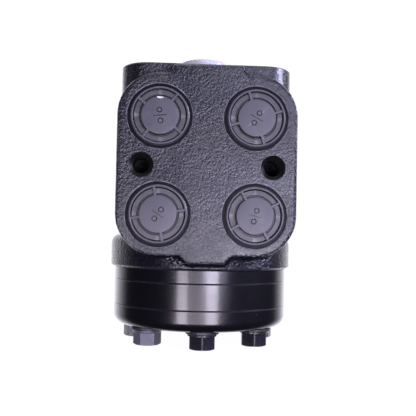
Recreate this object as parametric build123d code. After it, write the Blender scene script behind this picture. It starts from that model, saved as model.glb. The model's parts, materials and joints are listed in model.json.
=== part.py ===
"""Hydraulic orbital steering unit with its gerotor set, rotary valve and shipping plugs.

Millimetres. The origin is the centre of the column mounting face, +Z leaves that face
towards the steering column, the four ports look along -Y and +X is to the right of them.
"""
from build123d import *
import math
import os

os.makedirs("parts", exist_ok=True)

# ---------------------------------------------------------------- driving dimensions
# column flange
FLANGE_SIDE = 89.0
FLANGE_CORNER = 15.0
FLANGE_THICK = 20.0
COLUMN_PCD = 82.6
M10_MINOR_R = 4.25
M10_DEPTH = 17.0

# port block
FACE_Y = -54.0
BLOCK_BACK_Y = -10.0
BLOCK_WIDTH = 90.0
BLOCK_TOP_Z = -7.0
BLOCK_BOTTOM_Z = -98.0
BLOCK_CORNER = 21.0
TOP_TONGUE_Z = -2.3
TOP_TONGUE_TIP = 34.0
TOP_TONGUE_ROOT = 39.0
BOTTOM_TONGUE_Z = -102.1
BOTTOM_TONGUE_TIP = 18.5
BOTTOM_TONGUE_ROOT = 25.5
PORT_X = 23.9
PORT_TOP_Z = -29.0
PORT_BOTTOM_Z = -77.5
PORT_MINOR_R = 8.75
PORT_DEPTH = 18.0
SPOT_FACE_R = 16.0
SPOT_FACE_DEPTH = 0.8
VALVE_BOLT_X = 32.7
VALVE_BOLT_Z = -53.3

# barrel, lower flange and the stack of plates below it
BARREL_R = 39.0
LOWER_FLANGE_R = 50.2
LOWER_FLANGE_TOP_Z = -87.5
HOUSING_END_Z = -105.0
PLATE_THICK = 7.0
STATOR_THICK = 13.5
COVER_THICK = 11.2
STACK_R = 48.0
COVER_EDGE_R = 5.5
BOLT_COUNT = 7
CLEAR_HOLE_R = 4.3

# gerotor set: seven ring lobes, six rotor lobes
LOBE_CIRCLE_R = 36.4
LOBE_R = 8.4
ECCENTRICITY = 3.2
GEAR_CLEARANCE = 0.05
ROTOR_TIP_R = LOBE_CIRCLE_R + ECCENTRICITY - LOBE_R
END_PLAY = 0.03

# rotary valve
SLEEVE_R = 19.0
SPOOL_R = 14.0
RUNNING = 0.04
NECK_R = 12.5
DUST_SEAT_R = 16.5
DUST_SEAT_Z = -4.0
SEAL_SEAT_R = 15.5
SEAL_SEAT_Z = -12.0
BEARING_SHOULDER_Z = -16.0
RACE_THICK = 1.0
NEEDLE_DIAMETER = 2.0
SLEEVE_TOP_Z = -20.1
SLEEVE_END_Z = -104.8
SPOOL_TOP_Z = -1.5
SPOOL_SHOULDER_Z = -20.3
PIN_Z = -58.0
PIN_R = 4.0
PIN_HALF_LENGTH = 18.4
SPRING_Z = -30.0
SPRING_HEIGHT = 9.0
SPOOL_TRAVEL_DEG = 9.0
PASSAGE_Z = (-40.0, -47.0, -70.0, -77.0)
GROOVE_WIDTH = 2.2
GROOVE_DEPTH = 0.8

# splines, twelve teeth
SPLINE_TEETH = 12
SPLINE_ROOT_R = 10.3
SPLINE_TIP_R = 8.8

# drive shaft between the cross pin and the rotor
FORK_R = 8.9
DRIVE_SHAFT_R = 6.3
FORK_TOP_Z = -50.0

# plugs, cap and fasteners
PLUG_R = 14.6
PLUG_RING = 1.3
PLUG_DISC_R = 9.4
PLUG_PROUD = 1.9
PLUG_RIB = 1.4
PLUG_SHANK = 7.0
PLUG_TURNS = {
    "port_plug_top_left": 52.0,
    "port_plug_top_right": 17.0,
    "port_plug_bottom_left": 10.0,
    "port_plug_bottom_right": 30.0,
}
CAP_R = 14.2
CAP_TOP_Z = 10.7
CAP_SKIRT_Z = -4.0
BOLT_R = 4.0
BOLT_TIP_Z = -92.5
WASHER_R = 8.8
WASHER_THICK = 1.6
HEX_ACROSS_FLATS = 13.0
BOLT_COLLAR_R = 7.6
BOLT_COLLAR_THICK = 1.5
BOLT_HEAD_HEIGHT = 6.5
SPOT_DEPTH = 0.4
ORING_GROOVE_R = 43.4
ORING_GROOVE_WIDTH = 2.6
ORING_GROOVE_DEPTH = 1.4
BALL_R = 3.2
BALL_TRAVEL = 0.8

# derived levels and places
PLATE_END_Z = HOUSING_END_Z - PLATE_THICK
STATOR_END_Z = PLATE_END_Z - STATOR_THICK
COVER_END_Z = STATOR_END_Z - COVER_THICK
SEAT_Z = COVER_END_Z + SPOT_DEPTH
ROTOR_MID_Z = (PLATE_END_Z + STATOR_END_Z) / 2
PITCH_DEG = 360.0 / BOLT_COUNT
FRONT_DEG = -90.0
BOLT_ANGLES = [FRONT_DEG + k * PITCH_DEG for k in range(BOLT_COUNT)]
POCKET_ANGLES = [angle + PITCH_DEG / 2 for angle in BOLT_ANGLES]
BALL_ANGLE = BOLT_ANGLES[6]
HEAD_TURNS = dict(zip(BOLT_ANGLES, (32, 27, 8, 41, 19, 52, 2)))
COLUMN_HALF = COLUMN_PCD / 2 / math.sqrt(2)
PORT_PLACES = {
    "port_plug_top_left": (-PORT_X, PORT_TOP_Z),
    "port_plug_top_right": (PORT_X, PORT_TOP_Z),
    "port_plug_bottom_left": (-PORT_X, PORT_BOTTOM_Z),
    "port_plug_bottom_right": (PORT_X, PORT_BOTTOM_Z),
}


# ---------------------------------------------------------------- small helpers
def on_circle(radius, degrees):
    """Point on a circle about the main axis."""
    turn = math.radians(degrees)
    return radius * math.cos(turn), radius * math.sin(turn)


def cylinder_z(radius, z_top, z_bottom, x=0.0, y=0.0):
    """Upright cylinder between two levels."""
    return Pos(x, y, z_bottom) * Cylinder(
        radius, z_top - z_bottom, align=(Align.CENTER, Align.CENTER, Align.MIN)
    )


def ring_z(outer_r, inner_r, z_top, z_bottom):
    """Upright tube on the main axis."""
    return cylinder_z(outer_r, z_top, z_bottom) - cylinder_z(inner_r, z_top + 1, z_bottom - 1)


def rod(start, end, radius):
    """Cylinder from one point to another, as a drill leaves it."""
    way = Vector(*end) - Vector(*start)
    stand = Plane(origin=start, z_dir=way)
    return stand * Cylinder(radius, way.length, align=(Align.CENTER, Align.CENTER, Align.MIN))


def cone_z(bottom_r, top_r, z_top, z_bottom, x=0.0, y=0.0):
    """Upright cone between two levels."""
    return Pos(x, y, z_bottom) * Cone(
        bottom_r, top_r, z_top - z_bottom, align=(Align.CENTER, Align.CENTER, Align.MIN)
    )


def along_minus_y(x, z, y):
    """Plane whose normal leaves the port face."""
    return Plane(origin=(x, y, z), x_dir=(1, 0, 0), z_dir=(0, -1, 0))


def forward_cylinder(radius, x, z, y_back, y_front):
    """Cylinder along the ports' axis, between two depths."""
    return along_minus_y(x, z, y_back) * Cylinder(
        radius, y_back - y_front, align=(Align.CENTER, Align.CENTER, Align.MIN)
    )


def bolt_holes(z_top, z_bottom, radius):
    """The seven bolt holes on the lobe circle."""
    holes = []
    for angle in BOLT_ANGLES:
        x, y = on_circle(LOBE_CIRCLE_R, angle)
        holes.append(cylinder_z(radius, z_top, z_bottom, x, y))
    return holes


def spline_tooth(inner_r, outer_r, inner_half, outer_half):
    """One straight-sided tooth, pointing along +X."""
    return Polygon(
        (inner_r, -inner_half),
        (outer_r, -outer_half),
        (outer_r, outer_half),
        (inner_r, inner_half),
        align=None,
    )


def internal_spline(root_r, tip_r, gap_root_half, gap_tip_half):
    """Sketch of a splined hole: the tip circle and a gap for each outer tooth."""
    hole = Circle(tip_r)
    for tooth in range(SPLINE_TEETH):
        gap = spline_tooth(tip_r - 1.0, root_r, gap_tip_half, gap_root_half)
        hole += Rot(0, 0, tooth * 360 / SPLINE_TEETH) * gap
    return hole


def external_spline(root_r, tip_r, root_half, tip_half):
    """Sketch of a splined shaft."""
    shaft = Circle(root_r)
    for tooth in range(SPLINE_TEETH):
        land = spline_tooth(root_r - 1.0, tip_r, root_half, tip_half)
        shaft += Rot(0, 0, tooth * 360 / SPLINE_TEETH) * land
    return shaft


def revolved(points_and_arcs):
    """Solid turned about Z from a closed half profile drawn in the XZ plane."""
    outline = Curve() + points_and_arcs
    return revolve(make_face(Plane.XZ * outline), Axis.Z)


def save(part, name, colour):
    """Write one node."""
    part.label = name
    part.color = Color(*colour)
    export_step(part, f"parts/{name}.step")


# ---------------------------------------------------------------- housing
def barrel_and_lower_flange():
    """Turned core of the casting: coved barrel and the round flange under it."""
    top_cove = 5.5
    low_cove = 6.0
    shoulder = 5.0
    profile = Polyline(
        (0, -FLANGE_THICK + 2),
        (BARREL_R + top_cove, -FLANGE_THICK + 2),
        (BARREL_R + top_cove, -FLANGE_THICK),
        (BARREL_R + 0.3 * top_cove, -FLANGE_THICK - 0.3 * top_cove),
        (BARREL_R, -FLANGE_THICK - top_cove),
        (BARREL_R, LOWER_FLANGE_TOP_Z + low_cove),
        (BARREL_R + 0.3 * low_cove, LOWER_FLANGE_TOP_Z + 0.3 * low_cove),
        (BARREL_R + low_cove, LOWER_FLANGE_TOP_Z),
        (LOWER_FLANGE_R - 0.3 * shoulder, LOWER_FLANGE_TOP_Z - 0.3 * shoulder),
        (LOWER_FLANGE_R, LOWER_FLANGE_TOP_Z - shoulder),
        (LOWER_FLANGE_R, HOUSING_END_Z + 1.0),
        (LOWER_FLANGE_R - 1.0, HOUSING_END_Z),
        (0, HOUSING_END_Z),
        (0, -FLANGE_THICK + 2),
    )
    return revolved([profile])


def port_face_outline():
    """Rounded face with a chamfered tongue above and below."""
    middle_z = (BLOCK_TOP_Z + BLOCK_BOTTOM_Z) / 2
    face = Pos(0, middle_z) * RectangleRounded(
        BLOCK_WIDTH, BLOCK_TOP_Z - BLOCK_BOTTOM_Z, BLOCK_CORNER
    )
    face += Polygon(
        (-TOP_TONGUE_ROOT / 2, BLOCK_TOP_Z - 2),
        (-TOP_TONGUE_ROOT / 2, BLOCK_TOP_Z),
        (-TOP_TONGUE_TIP / 2, TOP_TONGUE_Z),
        (TOP_TONGUE_TIP / 2, TOP_TONGUE_Z),
        (TOP_TONGUE_ROOT / 2, BLOCK_TOP_Z),
        (TOP_TONGUE_ROOT / 2, BLOCK_TOP_Z - 2),
        align=None,
    )
    face += Polygon(
        (-BOTTOM_TONGUE_ROOT / 2, BLOCK_BOTTOM_Z + 2),
        (-BOTTOM_TONGUE_ROOT / 2, BLOCK_BOTTOM_Z),
        (-BOTTOM_TONGUE_TIP / 2, BOTTOM_TONGUE_Z),
        (BOTTOM_TONGUE_TIP / 2, BOTTOM_TONGUE_Z),
        (BOTTOM_TONGUE_ROOT / 2, BLOCK_BOTTOM_Z),
        (BOTTOM_TONGUE_ROOT / 2, BLOCK_BOTTOM_Z + 2),
        align=None,
    )
    return face


def port_block():
    """Block that carries the ports, with a small cast radius round its face."""
    back = Plane(origin=(0, BLOCK_BACK_Y, 0), x_dir=(1, 0, 0), z_dir=(0, -1, 0))
    block = extrude(back * port_face_outline(), BLOCK_BACK_Y - FACE_Y)
    front_edges = block.faces().sort_by(Axis.Y)[0].edges()
    return chamfer(front_edges, 0.7)


def column_flange():
    """Square flange that the steering column bolts to."""
    flange = Pos(0, 0, -FLANGE_THICK) * extrude(
        RectangleRounded(FLANGE_SIDE, FLANGE_SIDE, FLANGE_CORNER), FLANGE_THICK
    )
    return chamfer(flange.faces().sort_by(Axis.Z)[-1].edges(), 0.8)


def column_holes():
    """Four tapped holes in the column flange."""
    holes = []
    for x in (-COLUMN_HALF, COLUMN_HALF):
        for y in (-COLUMN_HALF, COLUMN_HALF):
            holes.append(cylinder_z(M10_MINOR_R, 1, -M10_DEPTH, x, y))
    return holes


def valve_bolt_holes():
    """Two tapped holes in the port face, for a flange-mounted valve block."""
    holes = []
    for x in (-VALVE_BOLT_X, VALVE_BOLT_X):
        holes.append(
            forward_cylinder(M10_MINOR_R, x, VALVE_BOLT_Z, FACE_Y + M10_DEPTH, FACE_Y - 1)
        )
    return holes


def port_cavities():
    """Ports with spot face and mouth chamfer."""
    cavities = []
    for x, z in PORT_PLACES.values():
        cavities.append(forward_cylinder(SPOT_FACE_R, x, z, FACE_Y + SPOT_FACE_DEPTH, FACE_Y - 1))
        cavities.append(forward_cylinder(PORT_MINOR_R, x, z, FACE_Y + PORT_DEPTH, FACE_Y - 1))
    return cavities


def valve_bore():
    """Bore for the sleeve, with its bearing shoulder and the seats of the seals above it."""
    return [
        cylinder_z(SLEEVE_R + RUNNING, BEARING_SHOULDER_Z, HOUSING_END_Z - 1),
        cylinder_z(NECK_R + RUNNING, 1, BEARING_SHOULDER_Z - 1),
        cylinder_z(DUST_SEAT_R, 1, DUST_SEAT_Z),
        cylinder_z(SEAL_SEAT_R, DUST_SEAT_Z + 1, SEAL_SEAT_Z),
    ]


def oring_groove(face_z, into):
    """Ring groove cut from a face; into is +1 upwards or -1 downwards."""
    half = ORING_GROOVE_WIDTH / 2
    top = max(face_z, face_z + into * ORING_GROOVE_DEPTH)
    bottom = min(face_z, face_z + into * ORING_GROOVE_DEPTH)
    return ring_z(ORING_GROOVE_R + half, ORING_GROOVE_R - half, top, bottom)


def check_valve_cavity():
    """Ball chamber above one of the bolt holes."""
    x, y = on_circle(LOBE_CIRCLE_R, BALL_ANGLE)
    return [cylinder_z(BALL_R + 0.25, BOLT_TIP_Z + 9.2, HOUSING_END_Z - 1, x, y)]


def housing():
    """The black-painted casting."""
    body = column_flange() + barrel_and_lower_flange() + port_block()
    cuts = column_holes() + valve_bolt_holes() + port_cavities() + valve_bore()
    cuts += check_valve_cavity()
    cuts += bolt_holes(BOLT_TIP_Z + 1.5, HOUSING_END_Z - 1, BOLT_R)
    return body - cuts


# ---------------------------------------------------------------- gear set and plates
def distributor_plate():
    """Flat plate that closes the housing and feeds the seven pockets."""
    plate = ring_z(STACK_R, 13.0, HOUSING_END_Z, PLATE_END_Z)
    plate -= bolt_holes(HOUSING_END_Z + 1, PLATE_END_Z - 1, CLEAR_HOLE_R)
    for angle in POCKET_ANGLES:
        slot = Rot(0, 0, angle) * (Pos(28.6, 0) * SlotOverall(9.0, 3.8))
        plate -= Pos(0, 0, PLATE_END_Z - 1) * extrude(slot, PLATE_THICK + 2)
    return plate - [oring_groove(HOUSING_END_Z, -1), oring_groove(PLATE_END_Z, 1)]


def stator_ring():
    """Ring gear: round pocket floors between seven round lobes, each round a bolt."""
    opening = Circle(ROTOR_TIP_R + ECCENTRICITY + GEAR_CLEARANCE)
    for angle in BOLT_ANGLES:
        opening -= Pos(*on_circle(LOBE_CIRCLE_R, angle)) * Circle(LOBE_R)
    inner = opening.faces().sort_by(SortBy.AREA)[-1]
    ring = Circle(STACK_R) - inner
    gear = Pos(0, 0, STATOR_END_Z) * extrude(ring, STATOR_THICK)
    return gear - bolt_holes(PLATE_END_Z + 1, STATOR_END_Z - 1, CLEAR_HOLE_R)


def rotor_edge(turn):
    """Point of the rotor's edge: the path of a ring lobe's centre, moved in by the lobe radius."""
    harmonic = BOLT_COUNT
    x = LOBE_CIRCLE_R * math.cos(turn) + ECCENTRICITY * math.cos(harmonic * turn)
    y = LOBE_CIRCLE_R * math.sin(turn) + ECCENTRICITY * math.sin(harmonic * turn)
    way_x = -LOBE_CIRCLE_R * math.sin(turn) - harmonic * ECCENTRICITY * math.sin(harmonic * turn)
    way_y = LOBE_CIRCLE_R * math.cos(turn) + harmonic * ECCENTRICITY * math.cos(harmonic * turn)
    speed = math.hypot(way_x, way_y)
    inward = LOBE_R + GEAR_CLEARANCE
    return x - inward * way_y / speed, y + inward * way_x / speed


def rotor():
    """Six-lobed rotor, generated by the ring's lobes, with its splined hole."""
    arcs_per_lobe = 8
    arcs = arcs_per_lobe * (BOLT_COUNT - 1)
    step = 2 * math.pi / arcs
    edges = []
    for arc in range(arcs):
        start, middle, end = (rotor_edge((arc + part) * step) for part in (0, 0.5, 1))
        edges.append(ThreePointArc(start, middle, end))
    outline = make_face(Curve() + edges)
    hole = internal_spline(SPLINE_ROOT_R, SPLINE_TIP_R, 1.0, 1.55)
    blank = Rot(0, 0, FRONT_DEG) * (outline - hole)
    place = Pos(0, ECCENTRICITY, STATOR_END_Z + END_PLAY)
    return place * extrude(blank, STATOR_THICK - 2 * END_PLAY)


def rotor_spacer():
    """Round spacer in the rotor's hole that keeps the drive shaft from sinking."""
    puck = cylinder_z(7.6, STATOR_END_Z + 2.6, STATOR_END_Z + END_PLAY, 0, ECCENTRICITY)
    return chamfer(puck.edges().filter_by(GeomType.CIRCLE), 0.4)


def end_cover():
    """Flat cover with a broad rounded lower edge and a spot face under each washer."""
    cover = cylinder_z(STACK_R, STATOR_END_Z, COVER_END_Z)
    cover = fillet(cover.faces().sort_by(Axis.Z)[0].edges(), COVER_EDGE_R)
    cover -= bolt_holes(STATOR_END_Z + 1, COVER_END_Z - 1, CLEAR_HOLE_R)
    cover -= bolt_holes(SEAT_Z, COVER_END_Z - 1, WASHER_R + 0.4)
    return cover - oring_groove(STATOR_END_Z, -1)


def oring(face_z, into):
    """Ring seal, squeezed flat between its groove and the next plate."""
    half = ORING_GROOVE_WIDTH / 2 - 0.2
    near = face_z + into * 0.01
    far = face_z + into * (ORING_GROOVE_DEPTH - 0.01)
    return ring_z(ORING_GROOVE_R + half, ORING_GROOVE_R - half, max(near, far), min(near, far))


# ---------------------------------------------------------------- fasteners
def one_bolt(angle, tip_z):
    """Collar-headed hexagon bolt, driven up from under the cover."""
    x, y = on_circle(LOBE_CIRCLE_R, angle)
    under_head = SEAT_Z - WASHER_THICK
    collar_end = under_head - BOLT_COLLAR_THICK
    head_end = collar_end - BOLT_HEAD_HEIGHT
    hexagon = RegularPolygon(HEX_ACROSS_FLATS / 2, 6, major_radius=False)
    head = Pos(x, y, head_end) * Rot(0, 0, HEAD_TURNS[angle]) * extrude(hexagon, BOLT_HEAD_HEIGHT)
    rounding = HEX_ACROSS_FLATS / 2
    crown = cone_z(rounding - 0.2, rounding + 3.2, head_end + 2.0, head_end, x, y)
    crown += cylinder_z(rounding + 3.0, collar_end, head_end + 1.8, x, y)
    head = head & crown
    collar = cylinder_z(BOLT_COLLAR_R, under_head, collar_end, x, y)
    collar = chamfer(collar.faces().sort_by(Axis.Z)[0].edges(), 0.5)
    shank = cylinder_z(BOLT_R - 0.05, tip_z, under_head - 0.5, x, y)
    shank = chamfer(shank.faces().sort_by(Axis.Z)[-1].edges(), 0.9)
    return head + collar + shank


def one_washer(angle):
    """Flat sealing washer."""
    x, y = on_circle(LOBE_CIRCLE_R, angle)
    lower = SEAT_Z - WASHER_THICK
    washer = cylinder_z(WASHER_R, SEAT_Z, lower, x, y)
    washer = chamfer(washer.faces().sort_by(Axis.Z)[0].edges(), 0.35)
    return washer - cylinder_z(BOLT_R, SEAT_Z + 1, lower - 1, x, y)


def cover_bolts():
    """The six plain bolts."""
    plain = [angle for angle in BOLT_ANGLES if angle != BALL_ANGLE]
    return Compound(children=[one_bolt(angle, BOLT_TIP_Z) for angle in plain])


def check_ball():
    """Ball of the return-to-pressure check valve, resting on its stop pin."""
    x, y = on_circle(LOBE_CIRCLE_R, BALL_ANGLE)
    return Pos(x, y, BOLT_TIP_Z + 1.5 + BALL_R) * Sphere(BALL_R)


def ball_stop_pin():
    """Pin between the long bolt and the ball."""
    x, y = on_circle(LOBE_CIRCLE_R, BALL_ANGLE)
    pin = cylinder_z(1.8, BOLT_TIP_Z + 1.45, BOLT_TIP_Z - 1.5, x, y)
    return chamfer(pin.edges().filter_by(GeomType.CIRCLE), 0.3)


# ---------------------------------------------------------------- rotary valve
def sleeve():
    """Outer valve sleeve with ring grooves, rows of holes, spring slots and pin hole."""
    inner_r = SPOOL_R + RUNNING
    part = ring_z(SLEEVE_R, inner_r, SLEEVE_TOP_Z, SLEEVE_END_Z)
    half = GROOVE_WIDTH / 2
    for passage_z in PASSAGE_Z:
        part -= ring_z(SLEEVE_R + 1, SLEEVE_R - GROOVE_DEPTH, passage_z + half, passage_z - half)
    part -= ring_z(SLEEVE_R + 1, 17.6, SPRING_Z + 5.5, SPRING_Z - 5.5)
    part -= Pos(0, 0, SPRING_Z) * Box(5.4, 60, SPRING_HEIGHT + 0.4)
    part -= rod((-30, 0, PIN_Z), (30, 0, PIN_Z), PIN_R + 0.02)
    for row, passage_z in enumerate(PASSAGE_Z):
        for hole in range(6):
            angle = hole * 60 + 30 + 10 * (row % 2)
            part -= Rot(0, 0, angle) * rod((10, 0, passage_z), (25, 0, passage_z), 1.0)
    for hole in range(BOLT_COUNT - 1):
        angle = hole * 60 + 10
        feed_z = HOUSING_END_Z + 13
        part -= Rot(0, 0, angle) * rod((10, 0, feed_z), (25, 0, feed_z), 1.4)
    return part


def spool():
    """Inner valve spool with the input spline, spring slot, pin window and flow grooves."""
    part = cylinder_z(SPOOL_R, SPOOL_SHOULDER_Z, SLEEVE_END_Z + 0.2)
    part += cylinder_z(NECK_R, SPOOL_TOP_Z, SPOOL_SHOULDER_Z - 1)
    spline = internal_spline(SPLINE_ROOT_R, SPLINE_TIP_R, 0.9, 1.3)
    part -= Pos(0, 0, -15.0) * extrude(spline, 20)
    part -= cylinder_z(8.2, -14, -46)
    part -= cylinder_z(10.4, -46, SLEEVE_END_Z - 1)
    part -= Pos(0, 0, SPRING_Z) * Box(5.4, 60, SPRING_HEIGHT + 0.4)
    window_r = PIN_R + SPOOL_R * math.radians(SPOOL_TRAVEL_DEG) + 0.25
    part -= rod((-30, 0, PIN_Z), (30, 0, PIN_Z), window_r)
    for groove in range(6):
        angle = groove * 60
        cut = Pos(SPOOL_R, 0, -86) * Box(1.8, 2.6, 20)
        part -= Rot(0, 0, angle + 30) * cut
    part -= ring_z(SPOOL_R + 1, SPOOL_R - 0.9, -42, -45)
    return part


def spring_pack():
    """Flat and bowed centring leaves, standing upright in the slot of the valve."""
    leaves = []
    for offset in (-1.7, -0.95, 0.95, 1.7):
        leaf = Pos(offset, 0, SPRING_Z) * Box(0.5, 34.4, SPRING_HEIGHT)
        leaves.append(leaf)
    bow = 0.55
    for side in (-1, 1):
        arch = ThreePointArc((side * 0.35, -17.2), (side * (0.35 - bow + 0.4), 0), (side * 0.35, 17.2))
        strip = trace(arch, 0.3)
        leaves.append(Pos(0, 0, SPRING_Z - SPRING_HEIGHT / 2) * extrude(strip, SPRING_HEIGHT))
    return Compound(children=leaves)


def drive_shaft():
    """Drive shaft: fork round the cross pin, slim shank and crowned spline in the rotor."""
    length = PIN_Z - ROTOR_MID_Z
    tilt = math.degrees(math.atan2(ECCENTRICITY, length))
    fork_top = FORK_TOP_Z - PIN_Z
    fork_end = -10.0
    neck_end = -length + 5.6
    spline_end = -length - 3.6
    part = cylinder_z(FORK_R, fork_top, fork_end)
    part = chamfer(part.edges().filter_by(GeomType.CIRCLE), 1.0)
    part -= Pos(0, 0, fork_top) * Box(30, 2 * PIN_R + 0.3, 2 * (fork_top + PIN_R + 1.5))
    part += cone_z(DRIVE_SHAFT_R, FORK_R - 1.2, fork_end + 0.5, fork_end - 3.0)
    part += cylinder_z(DRIVE_SHAFT_R, fork_end + 0.5, neck_end - 1)
    spline = external_spline(SPLINE_TIP_R - 0.55, SPLINE_ROOT_R - 0.4, 1.05, 0.55)
    teeth = Pos(0, 0, spline_end) * extrude(spline, neck_end - spline_end)
    middle = (neck_end + spline_end) / 2
    reach = SPLINE_ROOT_R - 0.4
    crown = Line((0, neck_end), (reach - 0.9, neck_end))
    barrel = ThreePointArc((reach - 0.9, neck_end), (reach, middle), (reach - 0.9, spline_end))
    base = Polyline((reach - 0.9, spline_end), (0, spline_end), (0, neck_end))
    teeth = teeth & revolved([crown, barrel, base])
    part += teeth
    return Pos(0, 0, PIN_Z) * Rot(tilt, 0, 0) * part


def thrust_cage():
    """Needle cage of the thrust bearing with its radial needles."""
    z_top = BEARING_SHOULDER_Z - RACE_THICK - 0.03
    middle = z_top - NEEDLE_DIAMETER / 2
    cage = ring_z(18.4, 13.4, middle + 0.6, middle - 0.6)
    for needle in range(14):
        roller = rod((14.0, 0, middle), (17.8, 0, middle), NEEDLE_DIAMETER / 2 - 0.01)
        cage += Rot(0, 0, needle * 360 / 14) * roller
    return cage


# ---------------------------------------------------------------- plugs and cap
def port_plug(name):
    """Moulded shipping plug: rim, sunk floor, four ribs, raised disc and hollow shank."""
    x, z = PORT_PLACES[name]
    seat_y = FACE_Y + SPOT_FACE_DEPTH
    thick = PLUG_PROUD + SPOT_FACE_DEPTH
    floor = 0.9
    flange = Circle(PLUG_R)
    blank = extrude(flange, thick)
    blank = chamfer(blank.faces().sort_by(Axis.Z)[-1].edges(), 0.35)
    recess = Circle(PLUG_R - PLUG_RING) - Circle(PLUG_DISC_R)
    for rib in range(4):
        turn = PLUG_TURNS[name] + 90 * rib
        reach = (PLUG_DISC_R + PLUG_R - PLUG_RING) / 2
        bar = Pos(reach, 0) * Rectangle(PLUG_R - PLUG_RING - PLUG_DISC_R + 1.0, PLUG_RIB)
        recess -= Rot(0, 0, turn) * bar
    blank -= Pos(0, 0, floor) * extrude(recess, thick)
    shank_r = PORT_MINOR_R - 0.25
    shank = Pos(0, 0, -PLUG_SHANK) * extrude(Circle(shank_r), PLUG_SHANK + 0.2)
    shank = chamfer(shank.faces().sort_by(Axis.Z)[0].edges(), 0.8)
    plug = blank + shank - Pos(0, 0, -PLUG_SHANK) * extrude(Circle(shank_r - 1.5), PLUG_SHANK)
    return along_minus_y(x, z, seat_y) * plug


def input_cap():
    """Moulded cap over the input spline: round-edged head and hollow skirt."""
    head = cylinder_z(CAP_R, CAP_TOP_Z, 0.3)
    head = fillet(head.faces().sort_by(Axis.Z)[-1].edges(), 3.2)
    skirt = ring_z(SPLINE_TIP_R - 0.4, SPLINE_TIP_R - 1.9, 1.0, CAP_SKIRT_Z)
    hollow = cylinder_z(CAP_R - 2.2, CAP_TOP_Z - 2.2, -1.0)
    web = ring_z(SPLINE_TIP_R - 0.4, SPLINE_TIP_R - 1.9, CAP_TOP_Z - 1.0, 0.5)
    return head - hollow + web + skirt


# ---------------------------------------------------------------- colours and export
BLACK_PAINT = (0.09, 0.09, 0.11)
DARK_PLASTIC = (0.16, 0.16, 0.18)
STEEL = (0.62, 0.63, 0.66)
RUBBER = (0.05, 0.05, 0.05)
SEAL = (0.25, 0.35, 0.30)
PALE_PLASTIC = (0.82, 0.82, 0.86)

save(housing(), "housing", BLACK_PAINT)
save(distributor_plate(), "distributor_plate", (0.13, 0.13, 0.15))
save(stator_ring(), "stator_ring", (0.18, 0.18, 0.20))
save(rotor(), "rotor", STEEL)
save(rotor_spacer(), "rotor_spacer", (0.75, 0.70, 0.55))
save(end_cover(), "end_cover", (0.11, 0.11, 0.13))
save(cover_bolts(), "cover_bolts", (0.30, 0.30, 0.33))
save(one_bolt(BALL_ANGLE, BOLT_TIP_Z - 1.55), "check_valve_bolt", (0.35, 0.33, 0.30))
save(Compound(children=[one_washer(angle) for angle in BOLT_ANGLES]), "cover_washers", STEEL)
save(oring(HOUSING_END_Z, -1), "oring_housing", RUBBER)
save(oring(PLATE_END_Z, 1), "oring_plate", RUBBER)
save(oring(STATOR_END_Z, -1), "oring_cover", RUBBER)
save(check_ball(), "check_ball", STEEL)
save(ball_stop_pin(), "ball_stop_pin", STEEL)
save(sleeve(), "valve_sleeve", (0.55, 0.57, 0.62))
save(spool(), "valve_spool", (0.70, 0.72, 0.76))
save(rod((-PIN_HALF_LENGTH, 0, PIN_Z), (PIN_HALF_LENGTH, 0, PIN_Z), PIN_R), "cross_pin", STEEL)
save(spring_pack(), "centring_springs", (0.45, 0.50, 0.60))
save(
    ring_z(SLEEVE_R - 0.1, 17.65, SPRING_Z + 5.3, SPRING_Z - 5.3), "spring_ring", (0.5, 0.5, 0.52)
)
save(drive_shaft(), "drive_shaft", STEEL)
RACE_TOP = BEARING_SHOULDER_Z
save(ring_z(18.8, 12.8, RACE_TOP, RACE_TOP - RACE_THICK), "upper_race", STEEL)
LOWER_RACE_TOP = RACE_TOP - RACE_THICK - NEEDLE_DIAMETER - 0.06
save(ring_z(18.8, 12.8, LOWER_RACE_TOP, SLEEVE_TOP_Z), "lower_race", STEEL)
save(thrust_cage(), "thrust_needles", (0.72, 0.66, 0.45))
SEAL_BORE = NECK_R + 0.05
SEAL_OUTER = SEAL_SEAT_R - 0.1
BACKUP_TOP = SEAL_SEAT_Z + 1.5
save(ring_z(SEAL_OUTER, SEAL_BORE, DUST_SEAT_Z - 3.0, BACKUP_TOP + 0.1), "shaft_seal", SEAL)
save(ring_z(SEAL_OUTER, SEAL_BORE, BACKUP_TOP, SEAL_SEAT_Z + 0.05), "seal_backup_ring", (0.85, 0.83, 0.75))
save(ring_z(DUST_SEAT_R - 0.1, SEAL_BORE, -0.4, DUST_SEAT_Z + 0.05), "dust_seal", RUBBER)
for plug_name in PORT_PLACES:
    save(port_plug(plug_name), plug_name, DARK_PLASTIC)
save(input_cap(), "input_cap", PALE_PLASTIC)
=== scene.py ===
"""Hydraulic steering unit: casting, plates, bolts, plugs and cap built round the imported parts.

Metres throughout. +Z leaves the column mounting face, the four ports look along -Y.
"""

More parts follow.
